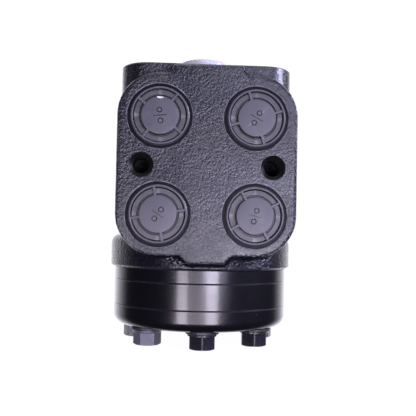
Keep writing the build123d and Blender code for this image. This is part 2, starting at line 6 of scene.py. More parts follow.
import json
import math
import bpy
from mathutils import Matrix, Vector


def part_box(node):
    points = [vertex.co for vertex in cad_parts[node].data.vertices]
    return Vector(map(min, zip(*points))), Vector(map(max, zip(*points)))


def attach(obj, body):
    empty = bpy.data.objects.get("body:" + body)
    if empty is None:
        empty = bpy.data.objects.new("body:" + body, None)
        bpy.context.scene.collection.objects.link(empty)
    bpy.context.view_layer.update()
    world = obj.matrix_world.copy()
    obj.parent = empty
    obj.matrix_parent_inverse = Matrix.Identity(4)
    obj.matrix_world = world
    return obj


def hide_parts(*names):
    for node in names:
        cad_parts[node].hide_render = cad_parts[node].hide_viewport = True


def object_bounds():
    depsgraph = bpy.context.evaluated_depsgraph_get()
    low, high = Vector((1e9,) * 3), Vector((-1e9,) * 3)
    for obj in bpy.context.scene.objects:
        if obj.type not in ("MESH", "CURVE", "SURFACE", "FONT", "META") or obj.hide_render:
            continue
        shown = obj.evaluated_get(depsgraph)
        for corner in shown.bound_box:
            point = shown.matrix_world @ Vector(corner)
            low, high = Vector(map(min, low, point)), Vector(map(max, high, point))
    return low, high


bl_info = {
    "name": "Orbital Steering Unit",
    "version": (1, 0, 0),
    "blender": (4, 5, 0),
    "location": "View3D > Sidebar > Steering Unit",
    "description": "Models and finishes a hydraulic steering unit round its packed parts",
    "category": "Object",
}

import bmesh
import bpy
from bpy.props import FloatProperty, FloatVectorProperty, IntProperty, PointerProperty
from mathutils import Matrix, Vector

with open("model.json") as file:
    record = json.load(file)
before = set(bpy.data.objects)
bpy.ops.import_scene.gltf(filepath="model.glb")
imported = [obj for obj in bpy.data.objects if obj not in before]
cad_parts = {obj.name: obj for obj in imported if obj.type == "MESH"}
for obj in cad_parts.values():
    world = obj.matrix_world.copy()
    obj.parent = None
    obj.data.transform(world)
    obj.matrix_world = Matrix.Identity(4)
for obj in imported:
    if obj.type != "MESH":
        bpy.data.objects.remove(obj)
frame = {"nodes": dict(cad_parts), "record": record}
CAD_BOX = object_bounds()

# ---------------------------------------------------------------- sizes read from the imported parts
MM = 0.001
HOUSING_LOW, HOUSING_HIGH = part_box("housing")
PLATE_LOW, PLATE_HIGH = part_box("distributor_plate")
STATOR_LOW, STATOR_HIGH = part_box("stator_ring")
COVER_LOW, COVER_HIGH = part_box("end_cover")
WASHER_LOW, WASHER_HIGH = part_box("cover_washers")
CAP_LOW, CAP_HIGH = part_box("input_cap")
BOLTS_LOW, BOLTS_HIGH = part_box("cover_bolts")
SPECIAL_LOW, SPECIAL_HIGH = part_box("check_valve_bolt")

COLUMN_FACE = HOUSING_HIGH.z
HOUSING_END = HOUSING_LOW.z
FACE_Y = HOUSING_LOW.y
FLANGE_R = HOUSING_HIGH.x
STACK_R = PLATE_HIGH.x

# ---------------------------------------------------------------- sizes of the casting
COLUMN_FLANGE_SIDE = 89.0 * MM
COLUMN_FLANGE_CORNER = 15.0 * MM
COLUMN_FLANGE_THICK = 20.0 * MM
BARREL_R = 39.0 * MM
LOWER_FLANGE_TOP = -87.5 * MM
BLOCK_WIDTH = 90.0 * MM
BLOCK_TOP = -7.0 * MM
BLOCK_BOTTOM = -98.0 * MM
BLOCK_BACK = -10.0 * MM
BLOCK_CORNER = 21.0 * MM
TOP_TONGUE = (-2.3 * MM, 34.0 * MM, 39.0 * MM)
BOTTOM_TONGUE = (-102.1 * MM, 18.5 * MM, 25.5 * MM)
MACHINING_STOCK = 1.5 * MM
LUMP_GRAIN = 0.3 * MM

COLUMN_BOLT = 29.2 * MM
VALVE_BOLT_X = 32.7 * MM
VALVE_BOLT_Z = -53.3 * MM
M10_MINOR_R = 4.25 * MM
M10_MAJOR_R = 5.0 * MM
M10_PITCH = 1.5 * MM
M10_DEPTH = 17.0 * MM
PORT_MINOR_R = 8.75 * MM
PORT_MAJOR_R = 9.5 * MM
PORT_PITCH = 1.59 * MM
PORT_DEPTH = 18.0 * MM
SPOT_FACE_R = 16.0 * MM
SPOT_FACE_DEPTH = 0.8 * MM
SPOT_FACE_RIM = 0.5 * MM
ORING_MOUTH_R = 10.9 * MM
VALVE_BORE = (
    (16.5, 2.0), (16.5, -4.0), (15.5, -4.0), (15.5, -12.0),
    (12.54, -12.0), (12.54, -16.0), (19.04, -16.0), (19.04, -107.0),
)

# ---------------------------------------------------------------- sizes of the stack and its bolts
BOLT_COUNT = 7
LOBE_CIRCLE_R = 36.4 * MM
LOBE_R = 8.4 * MM
STATOR_OPENING_R = 31.25 * MM
CLEAR_HOLE_R = 4.3 * MM
PLATE_BORE_R = 13.0 * MM
SLOT_CIRCLE_R = 28.6 * MM
SLOT_LENGTH = 9.0 * MM
SLOT_WIDTH = 3.8 * MM
SLOT_CORNER = 1.85 * MM
GROOVE_MID_R = 43.4 * MM
GROOVE_HALF = 1.3 * MM
GROOVE_DEPTH = 1.4 * MM
COVER_ROUNDING = 5.5 * MM
SUPPORT_LOOP = 0.3 * MM
WASHER_R = 8.8 * MM
WASHER_HOLE_R = 4.0 * MM
WASHER_EDGE = 0.3 * MM
HEX_ACROSS_FLATS = 13.0 * MM
COLLAR_R = 7.6 * MM
COLLAR_THICK = 1.5 * MM
BOLT_R = 3.95 * MM
BOLT_ROOT_R = 3.4 * MM
BOLT_PITCH = 1.25 * MM
BOLT_THREAD = 14.0 * MM
SPECIAL_BOLT = 6
HEAD_TURNS = (28.0, 27.0, 8.0, 41.0, 19.0, 52.0, 2.0)
BOLT_ANGLES = [-90.0 + turn * 360.0 / BOLT_COUNT for turn in range(BOLT_COUNT)]

# ---------------------------------------------------------------- sizes of the plugs and the cap
PLUG_NAMES = (
    "port_plug_top_left", "port_plug_top_right", "port_plug_bottom_left", "port_plug_bottom_right",
)
PLUG_TURNS = (52.0, 17.0, 10.0, 30.0)
PLUG_RIM_R = 14.6 * MM
PLUG_DISC_R = 9.4 * MM
PLUG_RING = 1.3 * MM
PLUG_FLOOR = 0.9 * MM
PLUG_RIB = 1.4 * MM
PLUG_SHANK_R = 8.5 * MM
PLUG_LENGTH = 7.0 * MM
PLUG_WALL = 1.5 * MM
PLUG_DEEP = 0.2 * MM
PLUG_CROWN = 0.22 * MM
DISC_ROUNDING = 0.5 * MM
CAP_FOOT = 0.3 * MM
CAP_ROUNDING = 2.2 * MM
CAP_WALL = 2.2 * MM
CAP_DIMPLE = 0.5 * MM
SKIRT_OUT_R = 8.4 * MM
SKIRT_IN_R = 6.9 * MM

# ---------------------------------------------------------------- colours of the lights
LAVENDER = (0.92, 0.84, 1.0)
BLUISH = (0.72, 0.71, 1.0)
WHITE = (1.0, 0.98, 1.0)

LAMP_AIM = Vector((0.0, 0.0, -0.08))
# name, azimuth in degrees, distance, width, height and level in metres, share of the power, colour
SOFT_BOXES = (
    ("left_low", -24.0, 1.0, 0.24, 0.40, -0.33, 0.42, LAVENDER),
    ("left_high", -34.0, 1.0, 0.16, 0.50, 0.24, 0.03, LAVENDER),
    ("right_low", 13.0, 1.0, 0.27, 0.40, -0.33, 0.49, LAVENDER),
    ("middle_low", -5.5, 1.0, 0.34, 0.40, -0.33, 0.165, LAVENDER),
    ("front_low", 11.0, 1.0, 0.34, 0.15, -0.12, 0.19, BLUISH),
    ("front_high", 12.0, 1.0, 0.30, 0.12, 0.21, 0.09, BLUISH),
    ("right_high", 24.0, 1.0, 0.30, 0.55, 0.10, 0.30, BLUISH),
    ("right_strip", 72.0, 0.8, 0.32, 0.26, 0.22, 1.05, BLUISH),
    ("left_strip", -84.0, 0.8, 0.20, 0.30, 0.27, 0.02, BLUISH),
    ("top_line", 5.0, 0.9, 0.50, 0.08, 0.90, 0.30, LAVENDER),
    ("top_box", 0.0, 0.5, 0.9, 0.6, 1.1, 0.4, WHITE),
)

# ---------------------------------------------------------------- facets and angles
LYING = (math.pi / 2, 0.0, 0.0)
MACHINED_EDGE = math.radians(32.0)
ROUND = 192
FINE = 96
SMALL = 48


# ================================================================ settings
def size_setting(name, description, default):
    """Setting that holds a length."""
    return FloatProperty(name=name, description=description, default=default, unit="LENGTH")


def angle_setting(name, description, default):
    """Setting that holds an angle."""
    return FloatProperty(name=name, description=description, default=default, subtype="ANGLE")


def colour_setting(name, description, default):
    """Setting that holds a colour."""
    return FloatVectorProperty(
        name=name, description=description, subtype="COLOR", default=default, min=0.0, max=1.0
    )


class CastingSettings(bpy.types.PropertyGroup):
    """Sizes and colour of the housing casting."""

    grain: size_setting("Mesh grain", "Edge length of the casting's skin", 0.92 * MM)
    softness: IntProperty(
        name="Cast rounding", description="Smoothing passes over the raw casting",
        default=4, min=0, max=30,
    )
    waviness: size_setting("Waviness", "Height of the sand-cast unevenness", 0.10 * MM)
    paint: colour_setting("Paint", "Colour of the paint on the casting", (0.0038, 0.0038, 0.0090))
    peel: FloatProperty(
        name="Orange peel", description="Strength of the paint's orange peel",
        default=0.72, min=0.0, max=1.0,
    )


class StackSettings(bpy.types.PropertyGroup):
    """Sizes and colour of the turned plates."""

    edge: size_setting("Edge break", "Chamfer on the plates' edges", 0.42 * MM)
    paint: colour_setting("Paint", "Colour of the paint on the plates", (0.0035, 0.0035, 0.0055))


class FastenerSettings(bpy.types.PropertyGroup):
    """Sizes and colours of the bolts and washers."""

    corner: size_setting("Corner rounding", "Rounding of the hexagon's corners", 0.35 * MM)
    finish: colour_setting("Finish", "Colour of the bolts", (0.010, 0.010, 0.014))
    phosphate: colour_setting("Phosphate", "Colour of the check valve bolt", (0.060, 0.060, 0.084))


class PlugSettings(bpy.types.PropertyGroup):
    """Sizes and colours of the shipping plugs and the input cap."""

    rounding: size_setting("Rounding", "Moulded radius on ribs and rims", 0.30 * MM)
    plastic: colour_setting("Plug plastic", "Colour of the port plugs", (0.040, 0.038, 0.050))
    cap: colour_setting("Cap plastic", "Colour of the input cap", (0.56, 0.55, 0.62))


class StudioSettings(bpy.types.PropertyGroup):
    """Camera and lights."""

    lens: FloatProperty(
        name="Lens", description="Focal length in millimetres", default=57.77, min=10.0
    )
    distance: size_setting("Distance", "Camera to the unit's axis", 0.38215)
    aside: size_setting("Aside", "Camera's shift to its right", 0.00394)
    height: size_setting("Height", "Camera height", -0.08575)
    yaw: angle_setting("Yaw", "Turn of the view about the axis", 0.0599)
    pitch: angle_setting("Pitch", "Tilt of the view", 0.0360)
    roll: angle_setting("Roll", "Roll of the view", 0.0205)
    key: FloatProperty(
        name="Soft boxes", description="Power that the soft boxes share out", default=9.0, min=0.0
    )


# ================================================================ bench tools
def fresh():
    """Leave edit mode with nothing selected."""
    if bpy.context.object and bpy.context.object.mode != "OBJECT":
        bpy.ops.object.mode_set(mode="OBJECT")
    bpy.ops.object.select_all(action="DESELECT")


def take(piece):
    """Make one piece the only selected and active one."""
    fresh()
    piece.select_set(True)
    bpy.context.view_layer.objects.active = piece
    return piece


def settle(name, piece=None):
    """Name the active piece and put its place in its mesh."""
    piece = piece or bpy.context.object
    take(piece)
    bpy.ops.object.transform_apply(location=True, rotation=True, scale=True)
    piece.name = name
    piece.data.name = name
    return piece


def placed(piece, place, rotation=(0.0, 0.0, 0.0)):
    """Turn and move a settled piece."""
    piece.rotation_euler = rotation
    piece.location = place
    return settle(piece.name, piece)


def spun(piece, degrees):
    """Turn a settled piece about Z."""
    return placed(piece, (0.0, 0.0, 0.0), (0.0, 0.0, math.radians(degrees)))


def twin(piece, name):
    """Copy of a piece with its own mesh."""
    take(piece)
    bpy.ops.object.duplicate(linked=False)
    return settle(name)


def edit(piece):
    """Enter edit mode on a piece with all of it selected."""
    take(piece)
    bpy.ops.object.mode_set(mode="EDIT")
    bpy.ops.mesh.select_all(action="SELECT")


def pick(kind, test):
    """In edit mode, select the faces or edges that pass a test of their place."""
    bpy.ops.mesh.select_all(action="DESELECT")
    bpy.ops.mesh.select_mode(type={"faces": "FACE", "edges": "EDGE"}[kind])
    mesh = bpy.context.edit_object.data
    shape = bmesh.from_edit_mesh(mesh)
    for item in getattr(shape, kind):
        item.select_set(bool(test(item)))
    bmesh.update_edit_mesh(mesh)


def middle(item):
    """Middle of a face or edge."""
    return sum((corner.co for corner in item.verts), Vector()) / len(item.verts)


def leave(merge=1e-7):
    """Close the edit: weld doubles, turn the faces outwards and go back to object mode."""
    bpy.ops.mesh.select_mode(type="VERT")
    bpy.ops.mesh.select_all(action="SELECT")
    bpy.ops.mesh.remove_doubles(threshold=merge)
    bpy.ops.mesh.normals_make_consistent(inside=False)
    bpy.ops.object.mode_set(mode="OBJECT")


def block(name, size, centre):
    """Cuboid of a size about a centre."""
    fresh()
    bpy.ops.mesh.primitive_cube_add(size=1.0, location=centre)
    bpy.context.object.scale = size
    return settle(name)


def turned(name, profile, sides=ROUND):
    """Solid of revolution: a circle extruded ring by ring along (radius, level) points.

    A profile that comes back to its first point makes a ring, any other a solid with flat ends.
    """
    fresh()
    radius, level = profile[0]
    bpy.ops.mesh.primitive_circle_add(vertices=sides, radius=radius, location=(0.0, 0.0, level))
    piece = settle(name)
    ring = profile[0] == profile[-1]
    edit(piece)
    if not ring:
        bpy.ops.mesh.edge_face_add()
    for next_radius, next_level in profile[1:]:
        rise = {"value": (0.0, 0.0, next_level - level)}
        if ring:
            bpy.ops.mesh.extrude_edges_move(TRANSFORM_OT_translate=rise)
        else:
            bpy.ops.mesh.extrude_region_move(TRANSFORM_OT_translate=rise)
        grow = next_radius / radius
        bpy.ops.transform.resize(value=(grow, grow, 1.0), center_override=(0.0, 0.0, next_level))
        radius, level = next_radius, next_level
    leave()
    return piece


def arc(centre_r, centre_z, radius, start, end, steps):
    """Points of a profile's arc, angles in degrees from the radial direction."""
    points = []
    for step in range(steps + 1):
        angle = math.radians(start + (end - start) * step / steps)
        points.append((centre_r + radius * math.cos(angle), centre_z + radius * math.sin(angle)))
    return points


def thread(minor, major, pitch, top, bottom):
    """Profile points of ring grooves that stand for a thread, from one level down to another."""
    points = []
    level = top
    while level - pitch > bottom:
        points += [(minor, level), (major, level - pitch * 0.45), (major, level - pitch * 0.55)]
        level -= pitch
    return points + [(minor, level)]


def apply(piece, kind, **values):
    """Add a modifier, set it and apply it."""
    take(piece)
    step = piece.modifiers.new(kind.lower(), kind)
    for key, value in values.items():
        setattr(step, key, value)
    bpy.ops.object.modifier_apply(modifier=step.name)
    return piece


def reskinned(piece, grain):
    """Grow a piece into one skin of even grain."""
    return apply(piece, "REMESH", mode="VOXEL", voxel_size=grain, adaptivity=0.0)


def combine(piece, tool, operation):
    """Cut a tool out of a piece or weld it on; the cut takes the tool's finish, if it has one."""
    transfer = "TRANSFER" if tool.data.materials else "INDEX"
    settings = {"operation": operation, "solver": "EXACT", "material_mode": transfer}
    apply(piece, "BOOLEAN", object=tool, **settings)
    bpy.data.objects.remove(tool)
    edit(piece)
    bpy.ops.mesh.dissolve_degenerate(threshold=1e-7)
    leave()
    return piece


def machined(piece, tools):
    """Cut a set of tools out of a piece at once."""
    return combine(piece, joined("tools", tools), "DIFFERENCE")


def dressed(piece, *looks):
    """Give a piece its finishes."""
    piece.data.materials.clear()
    for look in looks:
        piece.data.materials.append(finish(look))
    return piece


def dress_faces(piece, index, test):
    """Give the faces that pass a test another of the piece's materials."""
    edit(piece)
    pick("faces", test)
    piece.active_material_index = index
    bpy.ops.object.material_slot_assign()
    leave()
    return piece


def joined(name, pieces):
    """One piece from several."""
    fresh()
    for piece in pieces:
        piece.select_set(True)
    bpy.context.view_layer.objects.active = pieces[0]
    bpy.ops.object.join()
    return settle(name)


def round_edges(piece, test, offset, segments):
    """Bevel the edges that pass a test."""
    edit(piece)
    pick("edges", test)
    bpy.ops.mesh.bevel(offset=offset, segments=segments, affect="EDGES")
    leave()
    return piece


def along(axis):
    """Test for edges that run along one axis (0, 1 or 2)."""
    def test(edge):
        way = (edge.verts[1].co - edge.verts[0].co).normalized()
        return abs(way[axis]) > 0.999
    return test


def on_lobe_circle(angle, level=0.0):
    """Place on the circle that the bolts and the ring's lobes share."""
    turn = math.radians(angle)
    return LOBE_CIRCLE_R * math.cos(turn), LOBE_CIRCLE_R * math.sin(turn), level


def at_each_bolt(make, level=0.0, rotation=(0.0, 0.0, 0.0)):
    """One new tool at each place of the bolt circle."""
    return [placed(make(), on_lobe_circle(angle, level), rotation) for angle in BOLT_ANGLES]


def body_of_node(node):
    """Body that carries a CAD node."""
    for body, members in frame["record"]["behaviour"]["bodies"].items():
        if node in members:
            return body
    raise ValueError(node)


def hand_over(piece, node, slot, look=None):
    """Dress a CAD node with its finished piece, which wears its slot's finish unless told other."""
    body = body_of_node(node)
    if not piece.data.materials:
        dressed(piece, look or slot)
    take(piece)
    bpy.ops.object.shade_smooth_by_angle(angle=MACHINED_EDGE)
    apply(piece, "WEIGHTED_NORMAL", keep_sharp=True, weight=60)
    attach(piece, body)
    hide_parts(node)


# ================================================================ shader groups
def socket(group, name, direction, kind, value=None):
    """Named input or output of a shader group."""
    made = group.interface.new_socket(name=name, in_out=direction, socket_type=kind)
    if value is not None:
        made.default_value = value


def node(tree, kind, feeds=None, **values):
    """Shader node with its settings; feeds gives inputs a socket to follow or a value to hold."""
    made = tree.nodes.new(kind)
    for key, value in values.items():
        setattr(made, key, value)
    for key, value in (feeds or {}).items():
        if isinstance(value, bpy.types.NodeSocket):
            tree.links.new(value, made.inputs[key])
        else:
            made.inputs[key].default_value = value
    return made


def math_node(tree, operation, first, second):
    """Math node between two sockets or numbers."""
    made = node(tree, "ShaderNodeMath", {0: first, 1: second}, operation=operation)
    return made.outputs[0]


def product(tree, *values):
    """Product of sockets or numbers."""
    result = values[0]
    for value in values[1:]:
        result = math_node(tree, "MULTIPLY", result, value)
    return result


def remap(tree, value, low, high, out_low=0.0, out_high=1.0):
    """Clamped linear remap."""
    feeds = {0: value, 1: low, 2: high, 3: out_low, 4: out_high}
    return node(tree, "ShaderNodeMapRange", feeds, clamp=True).outputs[0]


def noise(tree, vector, scale, detail=2.0, roughness=0.5):
    """Noise texture read at a vector."""
    feeds = {"Vector": vector, "Scale": scale, "Detail": detail, "Roughness": roughness}
    return node(tree, "ShaderNodeTexNoise", feeds).outputs["Fac"]


def blend_colour(tree, mask, first, second):
    """Colour between two, by a mask."""
    feeds = {0: mask}
    for index, value in ((6, first), (7, second)):
        feeds[index] = value if isinstance(value, bpy.types.NodeSocket) else (*value[:3], 1.0)
    return node(tree, "ShaderNodeMix", feeds, data_type="RGBA").outputs[2]


def bump(tree, height, strength, distance, normal=None):
    """Bump of a height, on top of another normal if one is given."""
    feeds = {"Height": height, "Strength": strength, "Distance": distance}
    if normal is not None:
        feeds["Normal"] = normal
    return node(tree, "ShaderNodeBump", feeds).outputs["Normal"]


def parted(tree, vector):
    """The three numbers of a vector."""
    return node(tree, "ShaderNodeSeparateXYZ", {0: vector}).outputs


def new_group(name, output, kind, **numbers):
    """Shader group with its two ends: a vector and numbers come in, one value goes out."""
    group = bpy.data.node_groups.new(name, "ShaderNodeTree")
    start = node(group, "NodeGroupInput")
    end = node(group, "NodeGroupOutput")
    socket(group, "Vector", "INPUT", "NodeSocketVector")
    for key, number in numbers.items():
        label = key.replace("_", " ").title()
        socket(group, label, "INPUT", "NodeSocketFloat", number)
    socket(group, output, "OUTPUT", kind)
    return group, start, end


def paint_skin_group():
    """Orange peel of sprayed paint: cells of about a millimetre, calmer in places."""
    group, start, end = new_group(
        "Paint Skin", "Normal", "NodeSocketVector", cell_scale=900.0, strength=0.5, calm=0.0
    )
    cells = noise(group, start.outputs["Vector"], start.outputs["Cell Scale"], 2.0, 0.55)
    peaks = remap(group, cells, 0.32, 0.68)
    patches = remap(group, noise(group, start.outputs["Vector"], 38.0, 2.0), 0.35, 0.65, 0.45, 1.0)
    calm = math_node(group, "SUBTRACT", 1.0, start.outputs["Calm"])
    height = product(group, peaks, patches, calm)
    normal = bump(group, height, start.outputs["Strength"], 0.00034)
    group.links.new(normal, end.inputs["Normal"])
    return group


def edge_wear_and_highlight_group():
    """Mask of raised edges, where paint is thin and abraded, and where a lighter edge is painted on
    as a highlight.
    """
    group, start, end = new_group("Edge Wear", "Mask", "NodeSocketFloat", reach=0.06, amount=0.5)
    shape = node(group, "ShaderNodeNewGeometry")
    # raised edges turn lighter: partly abraded paint, partly a painted edge highlight
    raised = math_node(group, "SUBTRACT", shape.outputs["Pointiness"], 0.53)
    edge = math_node(group, "DIVIDE", raised, start.outputs["Reach"])
    broken = remap(group, noise(group, start.outputs["Vector"], 320.0, 3.0), 0.3, 0.6, 0.35, 1.0)
    mask = product(group, edge, broken, start.outputs["Amount"])
    clamp = node(group, "ShaderNodeClamp", {0: mask})
    group.links.new(clamp.outputs[0], end.inputs["Mask"])
    return group


def dust_group():
    """Mask of fine dust specks and of dust lying on faces that look up."""
    group, start, end = new_group("Dust", "Mask", "NodeSocketFloat", specks=0.3, settled=0.1)
    feeds = {"Vector": start.outputs["Vector"], "Scale": 260.0}
    cells = node(group, "ShaderNodeTexVoronoi", feeds, feature="F1")
    dots = remap(group, cells.outputs["Distance"], 0.06, 0.03)
    rare = remap(group, noise(group, start.outputs["Vector"], 120.0, 1.0), 0.60, 0.64)
    specks = product(group, dots, rare, start.outputs["Specks"])
    shape = node(group, "ShaderNodeNewGeometry")
    upward = remap(group, parted(group, shape.outputs["Normal"])["Z"], 0.5, 1.0)
    cloudy = remap(group, noise(group, start.outputs["Vector"], 60.0, 4.0), 0.35, 0.7)
    lying = product(group, upward, cloudy, start.outputs["Settled"])
    group.links.new(math_node(group, "MAXIMUM", specks, lying), end.inputs["Mask"])
    return group


def turning_group():
    """Fine lathe grooves round Z, as a height."""
    group, start, end = new_group("Turning Marks", "Height", "NodeSocketFloat")
    feeds = {"Vector": start.outputs["Vector"], "Scale": (12.0, 12.0, 2600.0)}
    stretch = node(group, "ShaderNodeMapping", feeds)
    group.links.new(noise(group, stretch.outputs["Vector"], 1.0, 3.0), end.inputs["Height"])
    return group


SKIN = paint_skin_group()
WEAR_AND_HIGHLIGHT = edge_wear_and_highlight_group()
DUST = dust_group()
TURNING = turning_group()


def placed_group(tree, group, vector, **values):
    """Shader group in a material, fed with object coordinates."""
    feeds = {key.replace("_", " ").title(): value for key, value in values.items()}
    return node(tree, "ShaderNodeGroup", {"Vector": vector, **feeds}, node_tree=group)


def new_material(name, **values):
    """Material with its principled shader, whose even values are set on the shader itself."""
    material = bpy.data.materials.new(name + "_finish")
    material.use_nodes = True
    tree = material.node_tree
    tree.nodes.clear()
    surface = node(tree, "ShaderNodeBsdfPrincipled")
    node(tree, "ShaderNodeOutputMaterial", {0: surface.outputs[0]})
    for key, value in values.items():
        surface.inputs[key.replace("_", " ").title().replace("Ior", "IOR")].default_value = value
    where = node(tree, "ShaderNodeTexCoord").outputs["Object"]
    return tree, surface, where


# ================================================================ materials
def wire(tree, surface, colour, roughness, normal):
    """Lead the three varying values into a material's shader."""
    for label, value in (("Base Color", colour), ("Roughness", roughness), ("Normal", normal)):
        tree.links.new(value, surface.inputs[label])


def drifting_gloss(tree, where, scale, low, high, detail=3.0):
    """Roughness that drifts between two values."""
    return remap(tree, noise(tree, where, scale, detail), 0.3, 0.7, low, high)


def fine_relief(tree, where, scale, strength, distance=0.0001, detail=3.0):
    """Normal of a finely uneven surface."""
    return bump(tree, noise(tree, where, scale, detail), strength, distance)


def shades(colour, low, high):
    """Two shades of a colour."""
    return [channel * low for channel in colour], [channel * high for channel in colour]


def soiled_and_edge_lit(tree, where, base, wear, worn_and_lit_colour, dust, dust_colour):
    """Colour with abraded edges that also carry a painted edge highlight, and with dust; the edge
    pair is (reach, amount), the dust pair is (specks, settled).
    """
    edge_wear_and_highlight_mask = placed_group(tree, WEAR_AND_HIGHLIGHT, where, reach=wear[0], amount=wear[1]).outputs["Mask"]
    dust_mask = placed_group(tree, DUST, where, specks=dust[0], settled=dust[1]).outputs["Mask"]
    # lighter edge colour: abraded paint and a painted edge highlight
    worn_and_lit = blend_colour(tree, edge_wear_and_highlight_mask, base, worn_and_lit_colour)
    return blend_colour(tree, dust_mask, worn_and_lit, dust_colour)


def mottled(name, tones, scales, gloss, relief, detail=3.0, contrast=None, **values):
    """Finish between two tones; scales are those of the tone, the gloss and the relief."""
    tree, surface, where = new_material(name, **values)
    patches = noise(tree, where, scales[0], detail)
    if contrast:
        patches = remap(tree, patches, *contrast)
    wire(
        tree, surface, blend_colour(tree, patches, *tones),
        drifting_gloss(tree, where, scales[1], *gloss, detail=2.0),
        fine_relief(tree, where, scales[2], *relief),
    )


def cast_paint():
    """Semi-gloss black paint over sand-cast iron, with calmer orange peel below the bolt holes."""
    settings = bpy.context.scene.steering_casting
    tree, surface, where = new_material("cast_paint", coat_weight=0.25, coat_roughness=0.22)
    level = parted(tree, where)["Z"]
    above = remap(tree, level, -0.062, -0.030, 1.0, 0.0)
    below = remap(tree, level, -0.080, -0.062, 0.0, 1.0)
    calm = product(tree, above, below, 0.55)
    skin = placed_group(tree, SKIN, where, cell_scale=820.0, strength=settings.peel, calm=calm)
    base = blend_colour(tree, noise(tree, where, 30.0, 3.0), *shades(settings.paint, 1.0, 1.3))
    # lighter edges: abraded paint and a painted edge highlight; dust specks and settled dust
    colour = soiled_and_edge_lit(
        tree, where, base, (0.09, 0.75), (0.16, 0.16, 0.21), (0.45, 0.10), (0.42, 0.42, 0.48)
    )
    gloss = drifting_gloss(tree, where, 90.0, 0.23, 0.31)
    wire(tree, surface, colour, gloss, skin.outputs["Normal"])


def smooth_paint():
    """Gloss black paint over turned plates, with the turning marks just showing."""
    settings = bpy.context.scene.steering_stack
    tree, surface, where = new_material("smooth_paint", coat_weight=0.35, coat_roughness=0.12)
    # lighter edges: abraded paint and a painted edge highlight; dust specks
    colour = soiled_and_edge_lit(
        tree, where, settings.paint, (0.10, 0.5), (0.16, 0.16, 0.19), (0.3, 0.05), (0.4, 0.4, 0.45)
    )
    marks = placed_group(tree, TURNING, where)
    flow = fine_relief(tree, where, 420.0, 0.08, 0.0002)
    normal = bump(tree, marks.outputs["Height"], 0.05, 0.0001, flow)
    wire(tree, surface, colour, drifting_gloss(tree, where, 200.0, 0.23, 0.26), normal)


def bolt_finish(name, colour, roughness, metallic=0.15):
    """Thin black or grey finish on forged steel, lighter on the corners, which are abraded and also
    carry a painted highlight.
    """
    tree, surface, where = new_material(
        name, metallic=metallic, coat_weight=0.1, coat_roughness=0.3, specular_ior_level=0.35
    )
    # corners lighter: abraded finish and a painted highlight
    rubbed_and_lit = placed_group(tree, WEAR_AND_HIGHLIGHT, where, reach=0.16, amount=0.28).outputs["Mask"]
    worn_and_lit = blend_colour(tree, rubbed_and_lit, colour, (0.45, 0.45, 0.50))
    tone = blend_colour(tree, noise(tree, where, 300.0, 3.0), worn_and_lit, shades(colour, 1.0, 1.6)[1])
    gloss = drifting_gloss(tree, where, 500.0, roughness, roughness + 0.12)
    relief = fine_relief(tree, where, 900.0, 0.15)
    wire(tree, surface, blend_colour(tree, rubbed_and_lit, tone, worn_and_lit), gloss, relief)


def dark_plastic(name, shade):
    """Satin moulded plastic of the shipping plugs; the darker copies made from it are painted shade
    where the plug is sunk, and its lighter edges are partly abraded and partly a painted highlight.
    """
    tree, surface, where = new_material(name, ior=1.5)
    plastic, _ = shades(bpy.context.scene.steering_plugs.plastic, shade, 1.0)
    base = blend_colour(tree, noise(tree, where, 160.0, 4.0), *shades(plastic, 0.82, 1.2))
    # edge colour: abraded plastic and a painted edge highlight
    worn_and_lit_colour = [0.30 * min(shade, 1.0)] * 3
    colour = soiled_and_edge_lit(
        tree, where, base, (0.12, 0.55), worn_and_lit_colour, (0.5, 0.15), (0.45, 0.45, 0.48)
    )
    relief = fine_relief(tree, where, 700.0, 0.12, detail=4.0)
    wire(tree, surface, colour, drifting_gloss(tree, where, 260.0, 0.34, 0.46), relief)


def pale_plastic():
    """Milky plastic of the input cap."""
    settings = bpy.context.scene.steering_plugs
    tree, surface, where = new_material(
        "pale_plastic", subsurface_weight=0.35, subsurface_scale=0.004, ior=1.5
    )
    dust_mask = placed_group(tree, DUST, where, specks=0.4, settled=0.2).outputs["Mask"]
    tone = blend_colour(tree, noise(tree, where, 90.0, 3.0), *shades(settings.cap, 1.0, 0.9))
    colour = blend_colour(tree, dust_mask, tone, (0.5, 0.5, 0.55))
    gloss = drifting_gloss(tree, where, 260.0, 0.34, 0.44)
    wire(tree, surface, colour, gloss, fine_relief(tree, where, 500.0, 0.1))


def machined_steel(name, colour, roughness):
    """Bare steel with fine turning or grinding marks."""
    tree, surface, where = new_material(name, metallic=1.0)
    marks = placed_group(tree, TURNING, where).outputs["Height"]
    tone = blend_colour(tree, marks, *shades(colour, 0.85, 1.12))
    gloss = remap(tree, marks, 0.3, 0.7, roughness, roughness + 0.12)
    wire(tree, surface, tone, gloss, bump(tree, marks, 0.12, 0.0001))


def soft_seal(name, colour, roughness):
    """Rubber or soft plastic of a seal."""
    gloss = (roughness, roughness + 0.15)
    mottled(name, shades(colour, 1.0, 1.3), (400.0, 300.0, 1200.0), gloss, (0.15,), ior=1.5)


